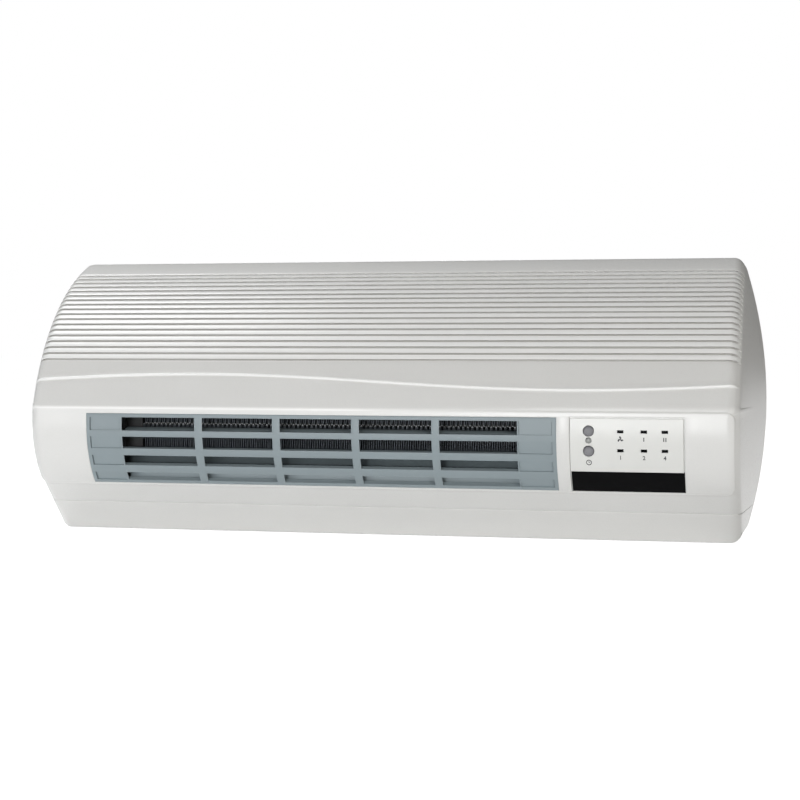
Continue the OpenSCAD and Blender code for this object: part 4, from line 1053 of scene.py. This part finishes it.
def painted_highlight_mask(c, s):
    """Painted highlight: 1 on the wave and along the upper and lower edges of the band, less on the
    ribs.
    """
    c1, c2, s1, s2 = band_area
    wave = step_down(abs(s - ridge_s), ((0, 1), (0.65, 1), (1.15, 0))) * wave_fade(c)
    upper = step_down(abs(s1 - s + 0.3), ((0, 1), (0.5, 1), (0.9, 0))) * (1.1 - brow_share(c))
    lower = step_down(abs(s - s2 + 0.4), ((0, 0.7), (0.4, 0.7), (0.8, 0)))
    rib = 0.5 * (rib_tilt(s) != 0) * (groove_depth(s) > -0.1) * end_fade(c)
    return max(rib, wave, max(upper, lower) * (c1 < c < c2))


def ridge_shift(c):
    """How far the wave runs from its middle height, along the side line."""
    return length_at(ridge_z + wave_h * cos(pi * (c - wave_top) / wave_half)) - ridge_s


def ridge_weight(s):
    """How fully a line of the pattern follows the wave."""
    if s < ridge_s:
        return share((s - ridge_zone[0]) / (ridge_s - 1.2 - ridge_zone[0]))
    return share((ridge_zone[1] - s) / (ridge_zone[1] - ridge_s - 1.2))


def cover_lift(c, s):
    """Height of the cover's face above the body, with all that stands out of it."""
    c1, c2, s1, s2 = band_area
    lift = step_down(max(c1 - c, c - c2, s - s2), band_edge) * step_down(s1 - s, band_top)
    dip = step_down(s1 - s, brow_foot) * brow_share(c)
    flush = step_down(s1 - s, brow_flush) * step_down(max(c1 - c, c - c2), band_edge)
    lift += (1 - lift) * (dip + flush * (1 - brow_share(c)))
    lift += groove_lift(c, s)
    lift += step_down(abs(s - ridge_s), ridge_profile) * wave_fade(c)
    lift += step_down(outside(c, s, grille_area), rounding)
    lift += step_down(outside(c, s, panel_area), rounding)
    lift += step_down(cover_end - s, rounding)
    if outside(c, s, panel_area) < -step / 2:
        lift = panel_floor
    return lift


def round_corner(c, s):
    """Moves the lines of the pattern to round corners at the ends of the band."""
    side = 1 if c > 0 else -1
    end = band_end if c > 0 else band_left
    a = abs(c) - (end - band_r)
    for edge, down in ((band_area[2], -1), (band_area[3], 1)):
        b = (s - edge) * down + band_r
        reach = max(a, b)
        if a > 0 and b > 0 and reach < band_r + 1.9:
            turn = pi / 4 * min(a, b) / reach
            if b > a:
                turn = pi / 2 - turn
            weight = share((band_r + 1.9 - reach) / 1.3)
            a += (reach * cos(turn) - a) * weight
            b += (reach * sin(turn) - b) * weight
            return side * (a + end - band_r), edge + (b - band_r) * down
    return c, s


def level_seam(c, s):
    """Keeps the lines near the seam level round the ends."""
    toe = slope_start + 1
    return s + edge_r * (1 - cos(end_angle(c))) * share((s - toe) / (cover_end - toe))


quarter = flat_x + edge_r * pi / 2
top_rows = [edge_start * k / 4 for k in range(5)]


def wall_at(s):
    """Thickness of the wall, a little less under the top."""
    return 2 + 0.5 * share((s - curve_start) / 10)


def cover_point(c, s, inner=False):
    """Place of a point of the cover's pattern on its outer or inner face."""
    depth = wall_at(s) * inner
    if abs(c) > quarter + 0.5:                   # flat end
        k = round(abs(c) - quarter)
        c = quarter if c > 0 else -quarter
        if s < top_rows[4] + 0.001:
            row = round(s / edge_start * 4)
            return on_body(c, top_rows[min(row, 4 - k)], -depth)
        return on_body(c, level_seam(c, s), -depth, 1 - top_rows[4 - k] / top_rows[4])
    lift = -depth if inner else cover_lift(c, s)
    if ridge_zone[0] < s < ridge_zone[1]:
        s += ridge_shift(c) * ridge_weight(s)
    if not inner:
        s -= groove_lean * groove_crease(c, s)
    c, s = round_corner(c, s)
    return on_body(c, level_seam(c, s), lift)


ends = [flat_x + edge_r * radians(a) for a in (0, 9, 18, 27, 60, 72, 81, 90)]
ends += [quarter + k for k in (1, 2, 3, 4)]
xs = ends + [-c for c in ends]
for c in (band_end, -band_left):
    side = 1 if c > 0 else -1
    xs += [c + side * d for d, _ in band_edge]
    xs += [c + side * (d - band_r) for d in (0, 1.3, 2.6, 3.7)]
for c1, c2 in ((grille_x1, grille_x2), panel_area[:2]):
    xs += beyond(c1, c2, rim)
xs += within(*panel_area[:2], (step,))
ys = top_rows + [edge_start + 1.5, edge_start + 3, curve_start]
for line in groove_lines:
    ys += beyond(line, line, [d for d, _ in groove_profile])
ys += beyond(ridge_s, ridge_s, [d for d, _ in ridge_profile])
ys += [band_area[2] - d for d, _ in brow_foot]
ys += list(ridge_zone) + [brow_start, brow_start + 1.3, flat_start, under_start]
ys += [band_area[2] - d for d, _ in band_top] + [band_area[2] + d for d in (2.6, 3.7, 4.6)]
ys += [band_area[3] + d for d, _ in band_edge] + [band_area[3] - d for d in (1.8, 2.9, 4.2)]
for area in (grille_area, panel_area):
    ys += beyond(*area[2:], rim)
ys += within(*panel_area[2:], (step,))
ys += [cover_end - d for d in rim]
ys += [slope_start]

piece = pattern("cover", filled(xs, 9), filled(ys, 3))
cut_out(piece, lambda c, s: outside(c, s, grille_area) < 0)
# Point attributes for the white material: painted shade in the grooves and on the face above the
# band, painted highlights on the wave, the band's edges and the ribs.
for name, shade in (("painted_shade", lambda c, s: max(groove_crease(c, s), painted_face_shade(c, s))),
                    ("painted_highlight", painted_highlight_mask)):
    layer = piece.data.attributes.new(name, "FLOAT", "POINT")
    for point in piece.data.vertices:
        layer.data[point.index].value = shade(point.co.x, -point.co.y)
wrap(piece, cover_point, lambda c, s: cover_point(c, s, True))

# Slots in the top, rounded at their ends and opened out a little at the surface.
slot_n = 36
slot_w = 6.4
slot_pitch = 9
slot_y1 = -15.5
slot_y2 = -3.5
bpy.ops.mesh.primitive_cylinder_add(vertices=24, radius=1, depth=1)
cutter = bpy.context.object
pick_faces(cutter, lambda face: face.normal.z > 0.9)
bpy.ops.mesh.extrude_region_move(TRANSFORM_OT_translate={"value": (0, 0, 1)})
bpy.ops.mesh.extrude_region_move(TRANSFORM_OT_translate={"value": (0, 0, 1)})
bpy.ops.object.mode_set(mode="OBJECT")
slot_heights = {-0.5: (176, 0), 0.5: (179.85, 0), 1.5: (180.32, 0.45), 2.5: (182, 0.45)}
for point in cutter.data.vertices:
    height, wider = slot_heights[round(point.co.z, 1)]
    radius = slot_w / 2 + wider
    stretch = (slot_y2 - slot_y1 - slot_w) / 2 * (1 if point.co.y > 0 else -1)
    point.co = spot(point.co.x * radius, (slot_y1 + slot_y2) / 2 + point.co.y * radius + stretch,
                    height)
cutter.data.transform(Matrix.Translation((-(slot_n - 1) / 2 * slot_pitch * mm, 0, 0)))
cut(piece, repeated(cutter, *[(slot_pitch * i, 0, 0) for i in range(1, slot_n)]))

# Holes behind the panel for the buttons, the lens, the lights and the receiver.
light_zs = (power_z - 0.25, timer_z + 0.45)
light_w = 3.6
light_h = 1.6


def panel_cutters(play, front, back):
    """Cutters for the buttons, the lens and the lights, from front to back."""
    cutters = [rod((button_x, front, z), (button_x, back, z), 3.3 + play, 48)
               for z in (power_z, timer_z)]
    cutters.append(rod((button_x, front, status_z), (button_x, back, status_z), 1.75 + play, 32))
    for x in light_xs:
        for z in light_zs:
            cutters.append(block(x - light_w / 2 - play, x + light_w / 2 + play, front, back,
                                 z - light_h / 2 - play, z + light_h / 2 + play))
    return cutters


cutters = panel_cutters(0.2, -112, -102)
cutters.append(block(151, 171, -112, -90, 37.3, 45))
cut(piece, join(*cutters))

# Bosses for the screws through the rear shell, and posts for the display board.
posts = []
for x, z, radius, back, length in ([(x, z, 4, -6.5, 14) for x in (-212, 212) for z in (36, 141)]
                                   + [(x, z, 3, -97, 6) for x in (130.4, 191.6)
                                      for z in (50, 76)]):
    front = max(front_at(z + radius), front_at(z - radius)) + 2.3
    post = rod((x, front, z), (x, back, z), radius)
    cut(post, rod((x, back - length, z), (x, back + 1, z), 1.25, 16))
    posts.append(post)
piece = join(piece, *posts)
finish(piece, "front_cover_shell", shell_white, "white_shell", "front_cover", level=False)

# ---- Base cover ----
# White plastic tray that closes the housing below the seam. Three screws hold it to the lugs.

base_top = length_at(seam_z - seam_gap)
base_rows = [base_start + (side_end - base_start) * k / 4 for k in range(5)]


def level_base(c, s):
    """Keeps the lines near the seam level round the ends, below it."""
    foot = toe_start - 1
    return s + edge_r * (1 - cos(end_angle(c))) * share((foot - s) / (foot - base_top))


def base_point(c, s, inner=False):
    """Place of a point of the base's pattern on its outer or inner face."""
    first, depth = base_rows[0], base_rows[4] - base_rows[0]
    if abs(c) > quarter + 0.5:                   # flat end
        k = round(abs(c) - quarter)
        c = quarter if c > 0 else -quarter
        if s > first - 0.001:
            row = round((s - first) / depth * 4)
            return on_body(c, base_rows[max(row, k)], -wall_t * inner)
        return on_body(c, level_base(c, s), -wall_t * inner, (base_rows[k] - first) / depth)
    lift = -wall_t if inner else step_down(s - base_top, rounding)
    return on_body(c, level_base(c, s), lift)


ends = [flat_x + edge_r * radians(a) for a in range(0, 91, 9)] + [quarter + k for k in (1, 2, 3, 4)]
ys = [base_top + d for d in rim] + [toe_start] + base_rows
ys += [toe_start + (base_start - toe_start) * k / 5 for k in range(1, 5)]
piece = pattern("base", filled(ends + [-c for c in ends], 15), filled(ys, 4))
wrap(piece, base_point, lambda c, s: base_point(c, s, True))
for x in (-150, 0, 105):         # countersunk holes for the screws
    cut(piece, rod((x, -14.5, -1), (x, -14.5, 1), 2.8),
        rod((x, -14.5, 0.5), (x, -14.5, 4), 1.65))
lip = pattern("lip", filled([-quarter, quarter] + ends[:11] + [-c for c in ends[:11]], 15),
              filled([length_at(seam_z + 4), length_at(seam_z), length_at(seam_z - 6)], 3))
wrap(lip, lambda c, s: on_body(c, level_seam(c, s), -2.65),
     lambda c, s: on_body(c, level_seam(c, s), -4.1))
piece = join(piece, lip)
finish(piece, "base_cover_tray", shell_white, "white_shell", "base_cover", level=False)

# ---- Control panel ----
# Pale label plate and a black window over the remote control's receiver, both clipped into the
# band. The round buttons slide in the plate, between them sits a round lens, and six small dark
# windows show the lights behind them. Plain marks are printed beside them.

label_pale = coating("label_pale", (0.78, 0.785, 0.765), 0.35, 3000, 0.00001, 0.01)
window_black = coating("window_black", (0.004, 0.004, 0.0045), 0.16, 1500, 0.000005, 0.1)
set_inputs(window_black, shader_of(window_black), Specular_IOR_Level=0.03)
button_grey = coating("button_grey", (0.19, 0.19, 0.205), 0.42, 3000, 0.00002, 0.04)
lens_grey = coating("lens_grey", (0.33, 0.34, 0.33), 0.35, 1200, 0.00001, 0.05)
print_dark = coating("print_dark", (0.045, 0.045, 0.05), 0.5, 4000, 0.00001, 0.2)
face_lift = band_t - 0.05


def plate(name, c1, c2, z1, z2, lift, depth):
    """A thin plate that follows the front, with rounded edges."""
    s1, s2 = length_at(z2, band_t), length_at(z1, band_t)
    area = (c1, c2, s1, s2)
    sheet = pattern(name, filled(within(c1, c2, rim), 12), filled(within(s1, s2, rim), 2))
    wrap(sheet, lambda c, s: on_body(c, s, lift + step_down(-outside(c, s, area), rounding)),
         lambda c, s: on_body(c, s, lift - depth))
    return sheet


piece = plate("label", 126.65, 195.35, 46.5, 79.5, face_lift, 1.15)
cut(piece, join(*panel_cutters(0.15, -112, -104)))
finish(piece, "label_plate_face", label_pale, "label_plastic", "label_plate")
piece = plate("window", 127, 195.8, 33.8, 46.4, face_lift, 1.15)
finish(piece, "receiver_window_strip", window_black, "black_window", "receiver_window")

windows = [plate("light", x - light_w / 2, x + light_w / 2, z - light_h / 2, z + light_h / 2,
                 face_lift - 0.1, 3.3) for x in light_xs for z in light_zs]
finish(join(*windows), "light_window_set", window_black, "dark_window", "light_windows")

finish(turned(((0, 0), (0.04, 0.7), (0.2, 1.25), (0.5, 1.62), (0.9, 1.72), (2.8, 1.72), (2.8, 0)),
               (button_x, -109.65, status_z), (0, 1, 0), 32),
       "status_lens_dome", lens_grey, "lens", "status_lens", smooth=50)


def push_button(z, front, flange):
    """Round button with a low dome, a flange behind the cover and a stem to its switch."""
    stem = plunger_y - front
    return turned([(0, 0), (0.05, 1.1), (0.18, 2.1), (0.34, 2.7), (0.6, 3.02), (1, 3.15),
                   (flange, 3.15), (flange, 4.5), (flange + 1, 4.5), (flange + 1, 1.5),
                   (stem, 1.5), (stem, 0)], (button_x, front, z), (0, 1, 0), 48)


for name, z, front, flange in (("power", power_z, -110.7, 4.8), ("timer", timer_z, -109.2, 6)):
    finish(push_button(z, front, flange), name + "_button_cap", button_grey, "button_plastic",
           name + "_button", body=name + "_key")


def printed(shape, x, z):
    """Lays a flat mark, drawn in millimetres, on the label plate with its middle at a place."""
    for point in shape.data.vertices:
        lift = face_lift + (0.05 if point.co.z > 0 else -0.05)
        point.co = on_body(x + point.co.x, length_at(z + point.co.y, band_t), lift)
    return shape


def bar(x, y, w, h, turn=0):
    """Flat bar of a mark."""
    bpy.ops.mesh.primitive_cube_add(size=1, location=(x, y, 0), rotation=(0, 0, radians(turn)),
                                    scale=(w, h, 0.1))
    return applied()


def disc(x, y, w, h, turn=0):
    """Flat round or oval of a mark."""
    bpy.ops.mesh.primitive_cylinder_add(vertices=20, radius=0.5, depth=1, location=(x, y, 0),
                                        rotation=(0, 0, radians(turn)), scale=(w, h, 0.1))
    return applied()


def number(text):
    """A plain number, 2.4 mm high."""
    bpy.ops.object.text_add()
    piece = bpy.context.object
    piece.data.body = text
    piece.data.size = 3.4
    piece.data.align_x = "CENTER"
    piece.data.align_y = "CENTER"
    piece.data.extrude = 0.05
    piece.data.offset = 0.07
    piece.data.resolution_u = 4
    bpy.ops.object.convert(target="MESH")
    return bpy.context.object


mark_z = (66.9, 55.5)
fan_blades = [disc(1.1 * cos(radians(a)), 1.1 * sin(radians(a)), 1.8, 1.05, a + 35)
              for a in (90, 210, 330)]
marks = [printed(join(disc(0, 0, 0.7, 0.7), *fan_blades), light_xs[0], mark_z[0]),
         printed(bar(0, 0, 0.6, 2.4), light_xs[1], mark_z[0]),
         printed(join(bar(-0.65, 0, 0.6, 2.4), bar(0.65, 0, 0.6, 2.4)), light_xs[2], mark_z[0])]
marks += [printed(number(text), x, mark_z[1]) for text, x in zip("124", light_xs)]
dial = disc(0, 0, 3.4, 3.4)
cut(dial, disc(0, 0, 2.5, 2.5))
dial = join(dial, bar(0, 0.42, 0.32, 0.95), bar(0.3, -0.1, 0.75, 0.3, -20))
marks.append(printed(dial, button_x, 52.4))
finish(join(*marks), "panel_marks", print_dark, "dark_window")

# ---- Screws ----
# Pan-head screws of plated steel with a cross recess and a ridged shank. They hold the cover,
# the duct, the boards, the base cover and the motor, whose two long ones end in nuts.

screw_steel = coating("screw_steel", (0.6, 0.6, 0.61), 0.3, 900, 0.00002, 0.1, 1, (1, 1, 1), 0.1)


def screw(head, axis, head_r, head_t, length, plain=0.5):
    """Screw from the middle of its outer face towards its tip, plain for a part of its shank."""
    outline = [(0, 0), (0, head_r * 0.6), (0.12, head_r * 0.82), (0.35, head_r * 0.95),
               (0.6, head_r), (head_t - 0.1, head_r), (head_t, head_r - 0.1), (head_t, 1.2)]
    d = head_t + plain
    while d < length - 1.6:
        outline += [(d, 1.02), (d + 0.35, 1.25), (d + 0.45, 1.25), (d + 0.8, 1.02)]
        d += 0.9
    outline += [(length - 0.7, 1), (length - 0.2, 0.7), (length, 0)]
    piece = turned(outline, head, axis, 32)
    depth = 0.75 * head_t
    middle = Vector(head) + Vector(axis) * (depth / 2 - 0.1)
    for arm in range(3):
        if not axis[arm]:                        # an arm of the cross lies square to the shank
            half = [depth / 2 + 0.1 if axis[k] else 0.3 for k in range(3)]
            half[arm] = head_r * 0.55
            low = middle - Vector(half)
            high = middle + Vector(half)
            cut(piece, block(low.x, high.x, low.y, high.y, low.z, high.z))
    return piece


piece = repeated(screw((-212, -2.4, 36), (0, -1, 0), 3.2, 1.6, 15.1),
                 (424, 0, 0), (0, 0, 105), (424, 0, 105))
finish(piece, "cover_screw_set", screw_steel, "zinc_steel", "cover_screws")

piece = repeated(screw((-118, -2.4, 112), (0, -1, 0), 3.2, 1.6, 7.6), (170, 0, 0))
finish(piece, "duct_screw_set", screw_steel, "zinc_steel", "duct_screws")

control = repeated(screw((166, -18.6, 40), (0, 1, 0), 2.6, 1.6, 11.1, 1.6),
                   (36, 0, 0), (0, 0, 76), (36, 0, 76))
display = repeated(screw((130.4, -93.8, 50), (0, -1, 0), 2.6, 1.6, 7.2, 1.6),
                   (61.2, 0, 0), (0, 0, 26), (61.2, 0, 26))
finish(join(control, display), "board_screw_set", screw_steel, "zinc_steel", "board_screws")

piece = repeated(screw((-150, -14.5, 0.2), (0, 0, 1), 2.6, 0.8, 8.5), (150, 0, 0), (255, 0, 0))
finish(piece, "base_screw_set", screw_steel, "zinc_steel", "base_screws")

nut = turned(drum(2.2, 2.8, 0.3, 1.2), (149.2, *motor_screw), (1, 0, 0), 6)
first = join(screw((110.4, *motor_screw), (1, 0, 0), 2.6, 1.6, 41.8, 30), nut)
finish(repeated(first, (0, screw_pitch, 0)), "motor_screw_set", screw_steel, "zinc_steel",
       "motor_screws", smooth=30)

# ---- Floor, light and camera ----
# Plain pale floor and soft studio light, mostly from the front left. The camera stands to the
# right of the middle, level with the wall screws.

bpy.ops.mesh.primitive_plane_add(size=30, location=spot(0, 0, -0.4))
floor = bpy.context.object
floor.name = "studio_floor"
floor_paint = bpy.data.materials.new("studio_floor")
floor_paint.use_nodes = True
path = add_node(floor_paint, "LightPath").outputs
seen = maths(floor_paint, "MAXIMUM", path["Is Camera Ray"], path["Is Glossy Ray"])
set_inputs(floor_paint, shader_of(floor_paint), Base_Color=(0.88, 0.88, 0.88, 1), Roughness=0.9,
           Specular_IOR_Level=0, Emission_Color=(1, 1, 1, 1),
           Emission_Strength=maths(floor_paint, "MULTIPLY", seen, 0.90))
floor.data.materials.append(floor_paint)

world = bpy.data.worlds.new("studio")
bpy.context.scene.world = world
world.use_nodes = True
place = add_node(world, "TexCoord").outputs["Generated"]
up = add_node(world, "SeparateXYZ", Vector=place).outputs["Z"]
path = add_node(world, "LightPath").outputs
seen = maths(world, "MAXIMUM", path["Is Camera Ray"], path["Is Transmission Ray"])
level = add_node(world, "Mix", Factor=seen, A=ramp(world, up, 0, 1, 0.11, 0.115), B=1)
set_inputs(world, world.node_tree.nodes["Background"], Color=(1, 1, 1, 1),
           Strength=level.outputs["Result"])


def lamp(name, place, aim, size, power, colour):
    """Adds a rectangular light that is aimed at a place."""
    light = bpy.data.lights.new(name, "AREA")
    light.shape = "RECTANGLE"
    light.size = size[0]
    light.size_y = size[1]
    light.energy = power
    light.color = colour
    thing = bpy.data.objects.new(name, light)
    bpy.context.scene.collection.objects.link(thing)
    thing.location = place
    thing.rotation_euler = (Vector(aim) - Vector(place)).to_track_quat("-Z", "Y").to_euler()


lamp("front", (-0.1, -2, -0.03), (0, -0.1, -0.06), (0.5, 0.16), 11.4, (0.98, 0.99, 1))
lamp("left", (-0.9, -1.2, -0.05), (-0.1, -0.1, -0.06), (0.9, 0.12), 3.5, (0.98, 0.99, 1))
lamp("right", (1.4, -1.5, 0.2), (0, -0.05, 0), (1.2, 1.2), 13.8, (1, 0.968, 0.905))
lamp("above", (-0.62, 0.05, 1), (-0.15, -0.08, 0.03), (0.5, 0.5), 6.5, (0.99, 0.995, 1))
lamp("back", (-0.45, 1.6, 0), (0, 0, 0), (0.6, 0.6), 8, (1, 1, 1))

camera_data = bpy.data.cameras.new("camera")
camera_data.lens = 79.814
camera = bpy.data.objects.new("camera", camera_data)
bpy.context.scene.collection.objects.link(camera)
camera.location = (0.270413, -1.184573, -0.000545)
camera.rotation_euler = (radians(88.20138), radians(-0.01277), radians(13.08834))
bpy.context.scene.camera = camera
bpy.context.scene.view_settings.view_transform = "Standard"
